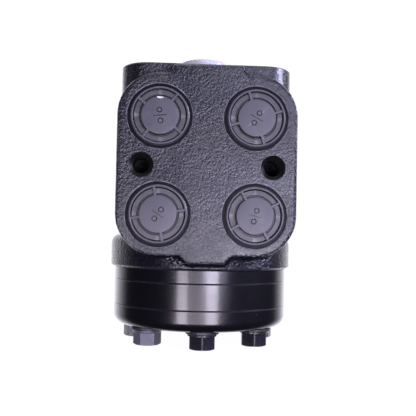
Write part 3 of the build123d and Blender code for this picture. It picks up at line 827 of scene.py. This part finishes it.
def make_finishes():
    """Make the material of each slot of the record, and those of the pieces' own places: abraded and
    torn ones, and ones with painted shade and painted highlights.
    """
    fasteners = bpy.context.scene.steering_fasteners
    cast_paint()
    smooth_paint()
    pale_plastic()
    bolt_finish("bolt_finish", tuple(fasteners.finish), 0.24)
    bolt_finish("washer_finish", tuple(fasteners.finish), 0.42, 0.0)
    bolt_finish("phosphate", tuple(fasteners.phosphate), 0.34)
    machined_steel("ground_steel", (0.50, 0.51, 0.53), 0.24)
    machined_steel("bright_steel", (0.62, 0.63, 0.65), 0.16)
    machined_steel("spring_steel", (0.30, 0.33, 0.40), 0.30)
    soft_seal("seal_rubber", (0.020, 0.020, 0.021), 0.50)
    soft_seal("shaft_seal_rubber", (0.030, 0.040, 0.034), 0.45)
    soft_seal("seal_plastic", (0.72, 0.68, 0.58), 0.40)
    dark_plastic("dark_plastic", 1.35)
    # darker copies of the plug plastic: painted shade on the sunk band, painted shadow in the
    # grooves and in the sunk mark
    dark_plastic("sunk_plastic", 0.70)
    dark_plastic("grimy_plastic", 0.12)
    # pale chip faces: torn plastic that also stands for a painted highlight
    mottled(
        "torn_plastic", ((0.25, 0.25, 0.28), (0.85, 0.85, 0.90)), (900.0, 600.0, 1500.0),
        (0.35, 0.55), (0.5, 0.0002), detail=4.0, ior=1.5,
    )
    # darker, duller paint for the spot faces: painted shade in the shallow recess
    mottled(
        "spot_paint", ((0.003, 0.003, 0.005), (0.006, 0.006, 0.009)), (200.0, 260.0, 500.0),
        (0.30, 0.40), (0.15,), specular_ior_level=0.10,
    )
    # lighter paint on the spot faces' rims: abraded paint and a painted highlight
    mottled(
        "rubbed_paint", ((0.03, 0.03, 0.04), (0.15, 0.15, 0.18)), (260.0, 400.0, 900.0),
        (0.30, 0.42), (0.2,), contrast=(0.35, 0.65), coat_weight=0.2, coat_roughness=0.25,
    )
    # near-black metallic finish inside the tapped holes: painted shade
    mottled(
        "oiled_thread", ((0.004, 0.004, 0.005), (0.016, 0.015, 0.015)), (300.0, 260.0, 700.0),
        (0.35, 0.50), (0.2,), metallic=0.6,
    )


def finish(slot):
    """Material made for a slot or for one of the pieces' own places, painted shade and painted
    highlights among them.
    """
    return bpy.data.materials[slot + "_finish"]


# ================================================================ housing
def casting_core():
    """Coved barrel with the round lower flange."""
    cove_top = 5.5 * MM
    cove_low = 6.0 * MM
    shoulder = 5.0 * MM
    flange_under = COLUMN_FACE - COLUMN_FLANGE_THICK
    profile = [(BARREL_R + cove_top, flange_under + 4 * MM)]
    profile += arc(BARREL_R + cove_top, flange_under - cove_top, cove_top, 90, 180, 8)
    profile += arc(BARREL_R + cove_low, LOWER_FLANGE_TOP + cove_low, cove_low, 180, 270, 8)
    profile += arc(FLANGE_R - shoulder, LOWER_FLANGE_TOP - shoulder, shoulder, 90, 0, 8)
    profile += [(FLANGE_R, HOUSING_END - MACHINING_STOCK)]
    return turned("core", profile, FINE)


def casting_flange():
    """Square column flange with round corners."""
    height = COLUMN_FLANGE_THICK + MACHINING_STOCK
    centre = COLUMN_FACE - COLUMN_FLANGE_THICK + height / 2
    piece = block("flange", (COLUMN_FLANGE_SIDE, COLUMN_FLANGE_SIDE, height), (0.0, 0.0, centre))
    return round_edges(piece, along(2), COLUMN_FLANGE_CORNER, 12)


def casting_block():
    """Port block with its big cast corners."""
    size = (BLOCK_WIDTH, BLOCK_BACK - FACE_Y, BLOCK_TOP - BLOCK_BOTTOM)
    centre = (0.0, (BLOCK_BACK + FACE_Y) / 2, (BLOCK_TOP + BLOCK_BOTTOM) / 2)
    return round_edges(block("block", size, centre), along(1), BLOCK_CORNER, 16)


def casting_tongue(name, tip_level, tip, root, root_level):
    """Tongue above or below the port face, with sloping sides."""
    inside = 4 * MM if root_level < tip_level else -4 * MM
    start = root_level - inside
    size = (root, BLOCK_BACK - FACE_Y, abs(tip_level - start))
    piece = block(name, size, (0.0, (BLOCK_BACK + FACE_Y) / 2, (tip_level + start) / 2))
    edit(piece)
    pick("faces", lambda face: abs(middle(face).z - start) < 1e-6)
    bpy.ops.transform.translate(value=(0.0, 0.0, inside))
    bpy.ops.mesh.extrude_region_move(TRANSFORM_OT_translate={"value": (0.0, 0.0, -inside)})
    pick("faces", lambda face: abs(middle(face).z - tip_level) < 1e-6)
    bpy.ops.transform.resize(value=(tip / root, 1.0, 1.0), center_override=(0.0, 0.0, tip_level))
    leave()
    return piece


def casting_lumps():
    """Ground-off casting flash on the lower flange beside the bottom tongue."""
    spots = (
        (-19.0, -99.4, 1.0), (-17.6, -100.8, 0.9), (-16.8, -98.9, 0.7), (-15.4, -101.2, 1.0),
        (-13.9, -99.7, 0.8), (-12.6, -100.9, 1.1), (-12.0, -102.2, 0.8), (-10.7, -101.4, 0.9),
        (-14.6, -102.4, 0.7), (15.0, -100.3, 0.9), (16.1, -101.6, 0.7),
    )
    lumps = []
    for index, (x, z, radius) in enumerate(spots):
        depth = math.sqrt(FLANGE_R ** 2 - (x * MM) ** 2) + 0.3 * MM
        fresh()
        bpy.ops.mesh.primitive_ico_sphere_add(
            subdivisions=3, radius=1.2 * radius * MM, location=(x * MM, -depth, z * MM)
        )
        bpy.context.object.scale = (1.2, 0.8, 0.9)
        lumps.append(settle(f"lump_{index}"))
    return reskinned(joined("lumps", lumps), LUMP_GRAIN)


def tapped_tool(name, minor, major, pitch, depth, mouth, sides=SMALL):
    """Tool for a threaded blind hole below z = 0: mouth chamfer, ring grooves, drill point."""
    profile = [(mouth, 3 * MM), (mouth, 0.0), (minor, minor - mouth)]
    profile += thread(minor, major, pitch, minor - mouth - 0.3 * MM, -depth + 2 * pitch)
    profile += [(minor, -depth), (0.3 * MM, -depth - 0.5 * minor)]
    # the hole's faces take the near-black finish: painted shade
    return dressed(turned(name, profile, sides), "oiled_thread")


def m10_tools(mouth, places, rotation=(0.0, 0.0, 0.0)):
    """Tools for M10 tapped holes at a set of places."""
    sizes = (M10_MINOR_R, M10_MAJOR_R, M10_PITCH, M10_DEPTH, mouth)
    return [placed(tapped_tool("m10_tool", *sizes), place, rotation) for place in places]


def column_tools():
    """Tools for the four tapped holes of the column flange."""
    sides = (-COLUMN_BOLT, COLUMN_BOLT)
    return m10_tools(5.5 * MM, [(x, y, COLUMN_FACE) for x in sides for y in sides])


def valve_bolt_tools():
    """Tools for the two tapped holes between the ports."""
    places = [(x, FACE_Y, VALVE_BOLT_Z) for x in (-VALVE_BOLT_X, VALVE_BOLT_X)]
    return m10_tools(6.2 * MM, places, LYING)


def port_centre(name):
    """Middle of a port, on the port face."""
    low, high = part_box(name)
    return (low.x + high.x) / 2, FACE_Y, (low.z + high.z) / 2


def port_tools():
    """Tools for the ports: broken edge, spot face, O-ring mouth and thread."""
    rim = SPOT_FACE_RIM
    floor = -SPOT_FACE_DEPTH
    profile = [(SPOT_FACE_R + rim + 1.5 * MM, 0.5 * MM)]
    profile += arc(SPOT_FACE_R + rim, -rim, rim, 90, 180, 4)
    profile += [(SPOT_FACE_R, floor + 0.2 * MM), (SPOT_FACE_R - 0.2 * MM, floor)]
    profile += [(ORING_MOUTH_R, floor), (PORT_MINOR_R + 0.9 * MM, floor - 1.8 * MM)]
    profile += thread(
        PORT_MINOR_R, PORT_MAJOR_R, PORT_PITCH, floor - 2.2 * MM, -PORT_DEPTH + 2 * MM
    )
    profile += [(PORT_MINOR_R, -PORT_DEPTH), (PORT_MINOR_R - 1 * MM, -PORT_DEPTH - 0.6 * MM)]
    tools = []
    for name in PLUG_NAMES:
        tool = turned("port_tool", profile, FINE)
        # spot face floors take the darker, duller paint as painted shade; the rim takes the lighter
        # paint as a painted highlight with abrasion
        dressed(tool, "spot_paint", "ground_steel", "rubbed_paint")
        dress_faces(tool, 1, lambda face: middle(face).z < floor - 0.1 * MM)
        dress_faces(tool, 2, lambda face: middle(face).z > -rim)
        tools.append(placed(tool, port_centre(name), LYING))
    return tools


def bolt_hole_tools():
    """Tools for the seven tapped holes that take the cover bolts."""
    depth = BOLTS_HIGH.z + 1.5 * MM - HOUSING_END
    tap = ("bolt_tool", BOLT_R + 0.05 * MM, BOLT_R + 0.3 * MM, BOLT_PITCH, depth, 4.6 * MM)
    return at_each_bolt(lambda: tapped_tool(*tap), HOUSING_END, (math.pi, 0.0, 0.0))


def break_machined_edge(piece, level, outward, chamfer):
    """Mill a face flat at a level and chamfer its outline."""
    edit(piece)
    bpy.ops.mesh.bisect(
        plane_co=(0.0, 0.0, level - outward * chamfer), plane_no=(0.0, 0.0, outward),
        use_fill=True, clear_outer=True, threshold=1e-7,
    )
    pick("faces", lambda face: abs(middle(face).z - (level - outward * chamfer)) < 1e-6)
    bpy.ops.mesh.inset(thickness=chamfer, use_even_offset=True)
    bpy.ops.transform.translate(value=(0.0, 0.0, outward * chamfer))
    leave()


def housing_piece():
    """Casting grown into one skin, smoothed, then machined."""
    settings = bpy.context.scene.steering_casting
    pieces = [
        casting_core(), casting_flange(), casting_block(),
        casting_tongue("top_tongue", *TOP_TONGUE, BLOCK_TOP),
        casting_tongue("bottom_tongue", *BOTTOM_TONGUE, BLOCK_BOTTOM),
    ]
    piece = joined("housing_casting", pieces)
    reskinned(piece, settings.grain)
    apply(piece, "SMOOTH", factor=0.5, iterations=settings.softness)
    waves = bpy.data.textures.new("sand_waves", "CLOUDS")
    waves.noise_scale = 0.0045
    apply(piece, "DISPLACE", texture=waves, strength=settings.waviness, mid_level=0.6)
    combine(piece, casting_lumps(), "UNION")
    break_machined_edge(piece, COLUMN_FACE, 1.0, 0.7 * MM)
    break_machined_edge(piece, HOUSING_END, -1.0, 0.9 * MM)
    dressed(piece, "cast_paint")
    bore = turned("bore_tool", [(radius * MM, level * MM) for radius, level in VALVE_BORE], FINE)
    dressed(bore, "ground_steel")
    tools = [bore] + column_tools() + valve_bolt_tools() + port_tools() + bolt_hole_tools()
    return machined(piece, tools)


# ================================================================ stack
def disc_profile(radius, high, low, edge):
    """Profile of a disc with broken edges, as a solid."""
    side = (
        high - edge, high - edge - SUPPORT_LOOP, low + edge + SUPPORT_LOOP, low + edge
    )
    return [(radius - edge, high)] + [(radius, level) for level in side] + [(radius - edge, low)]


def through_tools(high, low, radius):
    """Tools for seven holes or lobes that pass right through."""
    return at_each_bolt(lambda: turned("hole_tool", [(radius, high), (radius, low)], SMALL))


def groove_tool(level, into):
    """Tool for an O-ring groove cut from a face."""
    inner = GROOVE_MID_R - GROOVE_HALF
    outer = GROOVE_MID_R + GROOVE_HALF
    deep = level + into * GROOVE_DEPTH
    out = level - into * MM
    profile = [(inner, out), (outer, out), (outer, deep), (inner, deep), (inner, out)]
    return turned("groove_tool", profile)


def kidney_tools(high, low):
    """Tools for the seven slots that feed the pockets."""
    tools = []
    for angle in BOLT_ANGLES:
        size = (SLOT_LENGTH, SLOT_WIDTH, high - low + 2 * MM)
        tool = block("slot_tool", size, (SLOT_CIRCLE_R, 0.0, (high + low) / 2))
        round_edges(tool, along(2), SLOT_CORNER, 5)
        tools.append(spun(tool, angle + 180.0 / BOLT_COUNT))
    return tools


def plate_piece():
    """Distributor plate."""
    edge = bpy.context.scene.steering_stack.edge
    high, low = PLATE_HIGH.z, PLATE_LOW.z
    piece = turned("plate", disc_profile(STACK_R, high, low, edge))
    bore = turned("bore_tool", [(PLATE_BORE_R, high + MM), (PLATE_BORE_R, low - MM)], FINE)
    tools = [bore, groove_tool(high, -1), groove_tool(low, 1)]
    tools += through_tools(high + MM, low - MM, CLEAR_HOLE_R) + kidney_tools(high, low)
    return machined(piece, tools)


def stator_piece():
    """Ring gear with its seven round lobes."""
    edge = bpy.context.scene.steering_stack.edge
    high, low = STATOR_HIGH.z, STATOR_LOW.z
    piece = turned("stator", disc_profile(STACK_R, high, low, edge))
    root_r = STATOR_OPENING_R + LOBE_R
    opening = turned("opening_tool", [(root_r, high + MM), (root_r, low - MM)])
    opening = machined(opening, through_tools(high + 2 * MM, low - 2 * MM, LOBE_R))
    tools = [opening] + through_tools(high + MM, low - MM, CLEAR_HOLE_R)
    return machined(piece, tools)


def cover_piece():
    """End cover with a broad rounded rim below and a spot face under each washer."""
    edge = bpy.context.scene.steering_stack.edge
    high, low = COVER_HIGH.z, COVER_LOW.z
    profile = [(STACK_R - edge, high), (STACK_R, high - edge)]
    profile += [(STACK_R, high - edge - SUPPORT_LOOP)]
    profile += arc(STACK_R - COVER_ROUNDING, low + COVER_ROUNDING, COVER_ROUNDING, 0, -90, 10)
    piece = turned("cover", profile)
    seat = WASHER_HIGH.z
    seat_r = WASHER_R + 0.4 * MM
    bit = [(CLEAR_HOLE_R, high + MM), (CLEAR_HOLE_R, seat), (seat_r, seat), (seat_r, low - MM)]
    tools = [groove_tool(high, -1)] + at_each_bolt(lambda: turned("seat_tool", bit, SMALL))
    return machined(piece, tools)


# ================================================================ fasteners
def hexagon_head(high, low):
    """Forged hexagon with rounded corners and a turned crown."""
    corner = bpy.context.scene.steering_fasteners.corner
    fresh()
    across_corners = HEX_ACROSS_FLATS / math.cos(math.pi / 6)
    bpy.ops.mesh.primitive_cylinder_add(
        vertices=6, radius=across_corners / 2, depth=high - low,
        location=(0.0, 0.0, (high + low) / 2),
    )
    head = round_edges(settle("head"), along(2), corner, 3)
    flat = HEX_ACROSS_FLATS / 2
    profile = [(flat + 3 * MM, high + MM), (flat + 3 * MM, low + 1.95 * MM)]
    profile += [(flat + 1.0 * MM, low + 0.65 * MM), (flat - 0.2 * MM, low)]
    profile += [(flat - 0.8 * MM, low - 0.001 * MM)]
    crown = turned("crown", profile, FINE)
    head = combine(head, crown, "INTERSECT")
    edit(head)
    pick("faces", lambda face: middle(face).z < low + 0.01 * MM and face.normal.z < -0.9)
    bpy.ops.mesh.inset(thickness=1.0 * MM)
    bpy.ops.mesh.inset(thickness=0.8 * MM)
    bpy.ops.transform.translate(value=(0.0, 0.0, 0.25 * MM))
    leave()
    return head


def bolt_piece(name, high, low):
    """Collar-headed bolt standing on its head, axis on Z, from its tip to the end of its head."""
    under_head = WASHER_LOW.z
    collar_end = under_head - COLLAR_THICK
    head = hexagon_head(collar_end + 0.2 * MM, low)
    body = [(BOLT_ROOT_R - 0.6 * MM, high), (BOLT_R - 0.2 * MM, high - 0.9 * MM)]
    body += thread(BOLT_R, BOLT_ROOT_R, BOLT_PITCH, high - 1.0 * MM, high - BOLT_THREAD)
    body += [(BOLT_R, under_head - 0.3 * MM), (COLLAR_R - 0.3 * MM, under_head - 0.3 * MM)]
    body += [(COLLAR_R - 0.3 * MM, under_head), (COLLAR_R, under_head - 0.25 * MM)]
    body += [(COLLAR_R, collar_end + 0.45 * MM), (COLLAR_R - 0.5 * MM, collar_end)]
    body += [(HEX_ACROSS_FLATS / 2 - 1.0 * MM, collar_end - 0.05 * MM)]
    shank = turned(name, body, SMALL)
    return combine(shank, head, "UNION")


def head_turn(index):
    """Turn of a bolt's hexagon about its axis."""
    return 0.0, 0.0, math.radians(HEAD_TURNS[index] - 30.0)


def washer_piece():
    """Flat washer with a broken lower edge, axis on Z."""
    high, low = WASHER_HIGH.z, WASHER_LOW.z
    inner = WASHER_HOLE_R
    profile = [(inner, high), (WASHER_R - 0.1 * MM, high), (WASHER_R, high - 0.1 * MM)]
    profile += [(WASHER_R, low + WASHER_EDGE), (WASHER_R - WASHER_EDGE, low)]
    profile += [(inner, low), (inner, high)]
    return turned("washer", profile, FINE)


# ================================================================ plugs and cap
def plug_body(front):
    """Turned body of a plug, as high as front: rim, sunk floor, raised disc and hollow shank."""
    rounding = bpy.context.scene.steering_plugs.rounding
    rim_r = PLUG_RIM_R
    inner_rim = rim_r - PLUG_RING
    neck = rim_r - 0.35 * MM
    tube = PLUG_SHANK_R - PLUG_WALL
    crest = front - rounding
    profile = [(tube, -PLUG_LENGTH + 0.4 * MM), (PLUG_SHANK_R - 0.8 * MM, -PLUG_LENGTH)]
    profile += [(PLUG_SHANK_R, -PLUG_LENGTH + 0.8 * MM), (PLUG_SHANK_R, 0.0)]
    profile += [(rim_r - 0.2 * MM, 0.0), (rim_r, 0.2 * MM), (rim_r, 0.8 * MM)]
    profile += [(neck, 1.1 * MM), (neck, crest)]
    profile += arc(neck - rounding, crest, rounding, 30, 90, 3)
    profile += arc(inner_rim + rounding, crest, rounding, 90, 180, 4)
    profile += [(inner_rim - 0.05 * MM, PLUG_DEEP + 0.2 * MM), (inner_rim - 0.45 * MM, PLUG_DEEP)]
    for radius, rise in (
        (inner_rim - 0.5 * MM, 0.2 * MM), (inner_rim - 0.6 * MM, 0.3 * MM),
        (PLUG_DISC_R + 1.05 * MM, 0.3 * MM), (PLUG_DISC_R + 0.95 * MM, 0.2 * MM),
    ):
        profile.append((radius, PLUG_FLOOR + rise))
    profile += [(PLUG_DISC_R + 0.9 * MM, PLUG_DEEP), (PLUG_DISC_R + 0.15 * MM, PLUG_DEEP)]
    shoulder = front - PLUG_CROWN - DISC_ROUNDING
    profile += [(PLUG_DISC_R, shoulder)]
    profile += arc(PLUG_DISC_R - DISC_ROUNDING, shoulder, DISC_ROUNDING, 20, 86, 4)
    for share in (0.8, 0.6, 0.4, 0.2, 0.1):
        profile.append((PLUG_DISC_R * share, front - PLUG_CROWN * share ** 2))
    outer = turned("plug_body", profile, FINE)
    hollow = turned("hollow_tool", [(tube, -PLUG_LENGTH - MM), (tube, -0.2 * MM)], FINE)
    dressed(outer, "dark_plastic", "sunk_plastic", "grimy_plastic")
    band = (PLUG_DISC_R + MM, inner_rim - 0.4 * MM)
    gaps = ((PLUG_DISC_R - 0.05 * MM, band[0]), (band[1], inner_rim + 0.02 * MM))

    def within(face, low, high):
        place = middle(face)
        return place.z > 0.0 and low < place.to_2d().length < high

    # the sunk band takes the darker copy of the plastic: painted shade
    dress_faces(outer, 1, lambda face: within(face, *band))
    # the deep grooves take the near-black copy of the plastic: painted shadow
    shadow_level = PLUG_FLOOR + 0.28 * MM
    dress_faces(outer, 2, lambda face: middle(face).z < shadow_level and any(
        within(face, *gap) for gap in gaps
    ))
    return combine(outer, hollow, "DIFFERENCE")


def plug_rib(front):
    """One moulded rib between disc and rim, along +X."""
    rounding = bpy.context.scene.steering_plugs.rounding
    start = PLUG_DISC_R - 0.6 * MM
    end = PLUG_RIM_R - PLUG_RING + 0.5 * MM
    height = front - 0.3 * MM
    size = (end - start, PLUG_RIB, height)
    rib = block("rib", size, ((start + end) / 2, 0.0, height / 2))
    rib = round_edges(rib, lambda edge: along(0)(edge) and middle(edge).z > height / 2, rounding, 3)
    return dressed(rib, "dark_plastic")


def plug_mark(front):
    """Tools for the plain sunk mark in the middle of the disc: a bar between two small rings."""
    marks = [block("bar", (6.6 * MM, 0.5 * MM, 0.5 * MM), (0.0, 0.0, front))]
    for y in (-2.7 * MM, 2.7 * MM):
        fresh()
        bpy.ops.mesh.primitive_torus_add(
            location=(0.0, y, front), major_radius=1.15 * MM, minor_radius=0.28 * MM,
            major_segments=SMALL, minor_segments=10,
        )
        marks.append(settle("ring"))
    return marks


def plug_nick(front):
    """Tool for the chip knocked out of one plug's disc."""
    fresh()
    bpy.ops.mesh.primitive_ico_sphere_add(
        subdivisions=2, radius=1.4 * MM, location=(0.0, PLUG_DISC_R - 0.2 * MM, front + 0.3 * MM)
    )
    bpy.context.object.scale = (1.6, 0.7, 0.8)
    tool = settle("nick_tool")
    edit(tool)
    bpy.ops.transform.vertex_random(offset=0.18 * MM, seed=7)
    leave()
    return tool


def plug_piece(name, turn, chipped):
    """Shipping plug in its port."""
    seat_y = FACE_Y + SPOT_FACE_DEPTH
    front = seat_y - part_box(name)[0].y
    piece = plug_body(front)
    for quarter in range(4):
        piece = combine(piece, spun(plug_rib(front), turn + 90 * quarter), "UNION")
    for mark in plug_mark(front):
        # the sunk mark's cut faces take the near-black copy of the plastic: painted shadow
        dressed(mark, "grimy_plastic")
        piece = combine(piece, spun(mark, turn - 45), "DIFFERENCE")
    if chipped:
        # the chip's faces take the pale finish: torn plastic and a painted highlight
        piece = combine(piece, dressed(plug_nick(front), "torn_plastic"), "DIFFERENCE")
    x, _, z = port_centre(name)
    return settle(name + "_moulding", placed(piece, (x, seat_y, z), LYING))


def cap_piece():
    """Moulded cap over the input: domed head with a skirt that stands in the spline."""
    radius = CAP_HIGH.x
    top = CAP_HIGH.z
    bottom = CAP_LOW.z
    profile = [(radius - 0.3 * MM, CAP_FOOT), (radius, CAP_FOOT + 0.3 * MM)]
    profile += arc(radius - CAP_ROUNDING, top - CAP_ROUNDING, CAP_ROUNDING, 0, 80, 8)
    profile += [(radius - 6.5 * MM, top - 0.06 * MM), (radius - 7.2 * MM, top - CAP_DIMPLE)]
    profile += [(2.0 * MM, top - CAP_DIMPLE)]
    inner = radius - CAP_WALL
    hollow = [(inner, CAP_FOOT - MM), (inner, top - CAP_WALL - 0.6 * MM)]
    cap = combine(turned("cap", profile), turned("hollow_tool", hollow, FINE), "DIFFERENCE")
    ceiling = top - 2.0 * MM
    skirt = [(SKIRT_IN_R, ceiling), (SKIRT_OUT_R, ceiling), (SKIRT_OUT_R, bottom + 0.4 * MM)]
    skirt += [(SKIRT_OUT_R - 0.4 * MM, bottom), (SKIRT_IN_R, bottom), (SKIRT_IN_R, ceiling)]
    return combine(cap, turned("skirt", skirt, FINE), "UNION")


# ================================================================ studio
def mixed_shader(tree, share, first, second):
    """Mix of two shader nodes."""
    feeds = {0: share, 1: first.outputs[0], 2: second.outputs[0]}
    return node(tree, "ShaderNodeMixShader", feeds)


def floor_piece():
    """Pale floor under the unit, clear to mirrored rays and to an eye below it."""
    fresh()
    bpy.ops.mesh.primitive_circle_add(
        vertices=ROUND, radius=4.0, fill_type="NGON", location=(0.0, 0.0, CAD_BOX[0][2])
    )
    floor = settle("studio_floor")
    tree, surface, where = new_material("studio_floor", roughness=0.7)
    tone = blend_colour(tree, noise(tree, where, 3.0, 2.0), (0.86, 0.86, 0.88), (0.90, 0.90, 0.92))
    tree.links.new(tone, surface.inputs["Base Color"])
    glow = node(tree, "ShaderNodeEmission", {"Color": (1.0, 1.0, 1.0, 1.0), "Strength": 1.07})
    pale = mixed_shader(tree, 0.92, surface, glow)
    path = node(tree, "ShaderNodeLightPath")
    under = node(tree, "ShaderNodeNewGeometry")
    above = math_node(tree, "SUBTRACT", 1.0, under.outputs["Backfacing"])
    visible = product(tree, path.outputs["Is Camera Ray"], above)
    seen = mixed_shader(tree, visible, node(tree, "ShaderNodeBsdfTransparent"), pale)
    tree.links.new(seen.outputs[0], tree.nodes["Material Output"].inputs[0])
    floor.data.materials.append(finish("studio_floor"))


def soft_box(name, azimuth, distance, width, height, level, power, colour):
    """Area light that faces the unit; azimuth 0 is straight in front, positive to the right."""
    turn = math.radians(azimuth)
    place = Vector((distance * math.sin(turn), -distance * math.cos(turn), level))
    light = bpy.data.lights.new(name, "AREA")
    light.shape = "RECTANGLE"
    light.size = width
    light.size_y = height
    light.energy = power
    light.color = colour
    lamp = bpy.data.objects.new(name, light)
    bpy.context.scene.collection.objects.link(lamp)
    lamp.location = place
    lamp.rotation_euler = (LAMP_AIM - place).to_track_quat("-Z", "Y").to_euler()
    lamp.visible_camera = False


def surroundings():
    """White backdrop for the eye, with a bright back and a dim front for the reflections."""
    world = bpy.data.worlds.new("studio")
    world.use_nodes = True
    tree = world.node_tree
    tree.nodes.clear()
    where = node(tree, "ShaderNodeTexCoord").outputs["Generated"]
    behind = remap(tree, parted(tree, where)["Y"], 0.42, 0.82, 0.02, 1.75)
    feeds = {"Color": (0.93, 0.91, 1.0, 1.0), "Strength": behind}
    lit = node(tree, "ShaderNodeBackground", feeds)
    feeds = {"Color": (1.0, 1.0, 1.0, 1.0), "Strength": 1.05}
    seen = node(tree, "ShaderNodeBackground", feeds)
    path = node(tree, "ShaderNodeLightPath")
    mixed = mixed_shader(tree, path.outputs["Is Camera Ray"], lit, seen)
    node(tree, "ShaderNodeOutputWorld", {0: mixed.outputs[0]})
    bpy.context.scene.world = world


def camera():
    """Camera at the viewing angle: square in front, slightly from the left, slightly rolled."""
    settings = bpy.context.scene.steering_studio
    data = bpy.data.cameras.new("camera")
    data.lens = settings.lens
    data.sensor_width = 36.0
    data.clip_start = 0.01
    eye = bpy.data.objects.new("camera", data)
    bpy.context.scene.collection.objects.link(eye)
    turn = Matrix.Rotation(-settings.yaw, 3, "Z")
    place = turn @ Vector((settings.aside, -settings.distance, settings.height))
    forward = turn @ Vector((0.0, math.cos(settings.pitch), math.sin(settings.pitch)))
    level_up = turn @ Vector((0.0, -math.sin(settings.pitch), math.cos(settings.pitch)))
    level_right = forward.cross(level_up)
    right = math.cos(settings.roll) * level_right + math.sin(settings.roll) * level_up
    up = math.cos(settings.roll) * level_up - math.sin(settings.roll) * level_right
    axes = Matrix((right, up, -forward)).transposed()
    eye.matrix_world = Matrix.Translation(place) @ axes.to_4x4()
    bpy.context.scene.camera = eye


# ================================================================ operators
class MakeFinishes(bpy.types.Operator):
    """Make every material and give the CAD nodes that stay in view theirs."""

    bl_idname = "steering.finishes"
    bl_label = "Finishes"

    def execute(self, context):
        make_finishes()
        for entry in frame["record"]["subparts"]:
            part = frame["nodes"][entry["node"]]
            part.data.materials.clear()
            part.data.materials.append(finish(entry["material_slot"]))
        return {"FINISHED"}


class MakeHousing(bpy.types.Operator):
    """Model the painted casting with its machined faces, ports and tapped holes."""

    bl_idname = "steering.housing"
    bl_label = "Housing"

    def execute(self, context):
        hand_over(housing_piece(), "housing", "cast_paint")
        return {"FINISHED"}


class MakeStack(bpy.types.Operator):
    """Model the distributor plate, the ring gear and the end cover."""

    bl_idname = "steering.stack"
    bl_label = "Plates and Cover"

    def execute(self, context):
        makers = {
            "distributor_plate": plate_piece, "stator_ring": stator_piece, "end_cover": cover_piece,
        }
        for name, make in makers.items():
            hand_over(settle(name + "_turned", make()), name, "smooth_paint")
        return {"FINISHED"}


class MakeFasteners(bpy.types.Operator):
    """Model the cover bolts, the check valve bolt and the washers."""

    bl_idname = "steering.fasteners"
    bl_label = "Bolts and Washers"

    def execute(self, context):
        pattern = bolt_piece("bolt", BOLTS_HIGH.z, BOLTS_LOW.z)
        washer = washer_piece()
        bolts, washers = [], []
        for index, angle in enumerate(BOLT_ANGLES):
            place, turn = on_lobe_circle(angle), head_turn(index)
            washers.append(placed(twin(washer, "washer_copy"), place, turn))
            if index != SPECIAL_BOLT:
                bolts.append(placed(twin(pattern, "bolt_copy"), place, turn))
        for spare in (pattern, washer):
            bpy.data.objects.remove(spare)
        special = bolt_piece("special", SPECIAL_HIGH.z, SPECIAL_LOW.z)
        place = on_lobe_circle(BOLT_ANGLES[SPECIAL_BOLT])
        special = placed(special, place, head_turn(SPECIAL_BOLT))
        hand_over(joined("cover_bolts_set", bolts), "cover_bolts", "bolt_finish")
        hand_over(joined("washer_set", washers), "cover_washers", "washer_finish")
        special = settle("check_valve_bolt_piece", special)
        hand_over(special, "check_valve_bolt", "bolt_finish", "phosphate")
        return {"FINISHED"}


class MakePlugs(bpy.types.Operator):
    """Model the four moulded shipping plugs."""

    bl_idname = "steering.plugs"
    bl_label = "Port Plugs"

    def execute(self, context):
        for index, name in enumerate(PLUG_NAMES):
            piece = plug_piece(name, PLUG_TURNS[index], chipped=index == 0)
            hand_over(piece, name, "dark_plastic")
        return {"FINISHED"}


class MakeCap(bpy.types.Operator):
    """Model the cap over the input spline."""

    bl_idname = "steering.cap"
    bl_label = "Input Cap"

    def execute(self, context):
        hand_over(settle("input_cap_moulding", cap_piece()), "input_cap", "pale_plastic")
        return {"FINISHED"}


class MakeStudio(bpy.types.Operator):
    """Set the floor, the surroundings, the lights and the camera."""

    bl_idname = "steering.studio"
    bl_label = "Studio"

    def execute(self, context):
        power = context.scene.steering_studio.key
        floor_piece()
        surroundings()
        for name, azimuth, distance, width, height, level, share, colour in SOFT_BOXES:
            soft_box(name, azimuth, distance, width, height, level, power * share, colour)
        camera()
        context.scene.view_settings.view_transform = "Standard"
        return {"FINISHED"}


class SteeringPanel(bpy.types.Panel):
    """Lists the settings and the pieces."""

    bl_idname = "VIEW3D_PT_steering_unit"
    bl_label = "Steering Unit"
    bl_space_type = "VIEW_3D"
    bl_region_type = "UI"
    bl_category = "Steering Unit"

    def draw(self, context):
        for group_name in GROUPS:
            group = getattr(context.scene, group_name)
            column = self.layout.column()
            for key in group.__annotations__:
                column.prop(group, key)
        for operator in OPERATORS:
            self.layout.operator(operator.bl_idname)


GROUPS = {
    "steering_casting": CastingSettings,
    "steering_stack": StackSettings,
    "steering_fasteners": FastenerSettings,
    "steering_plugs": PlugSettings,
    "steering_studio": StudioSettings,
}
OPERATORS = (MakeFinishes, MakeHousing, MakeStack, MakeFasteners, MakePlugs, MakeCap, MakeStudio)


def register():
    """Register the settings, the operators and the panel."""
    for name, group in GROUPS.items():
        bpy.utils.register_class(group)
        setattr(bpy.types.Scene, name, PointerProperty(type=group))
    for operator in OPERATORS:
        bpy.utils.register_class(operator)
    bpy.utils.register_class(SteeringPanel)


def unregister():
    """Take them out again."""
    bpy.utils.unregister_class(SteeringPanel)
    for operator in reversed(OPERATORS):
        bpy.utils.unregister_class(operator)
    for name, group in GROUPS.items():
        delattr(bpy.types.Scene, name)
        bpy.utils.unregister_class(group)


def main():
    """Build the whole unit."""
    register()
    bpy.ops.steering.finishes()
    bpy.ops.steering.housing()
    bpy.ops.steering.stack()
    bpy.ops.steering.fasteners()
    bpy.ops.steering.plugs()
    bpy.ops.steering.cap()
    bpy.ops.steering.studio()


if __name__ == "__main__":
    main()
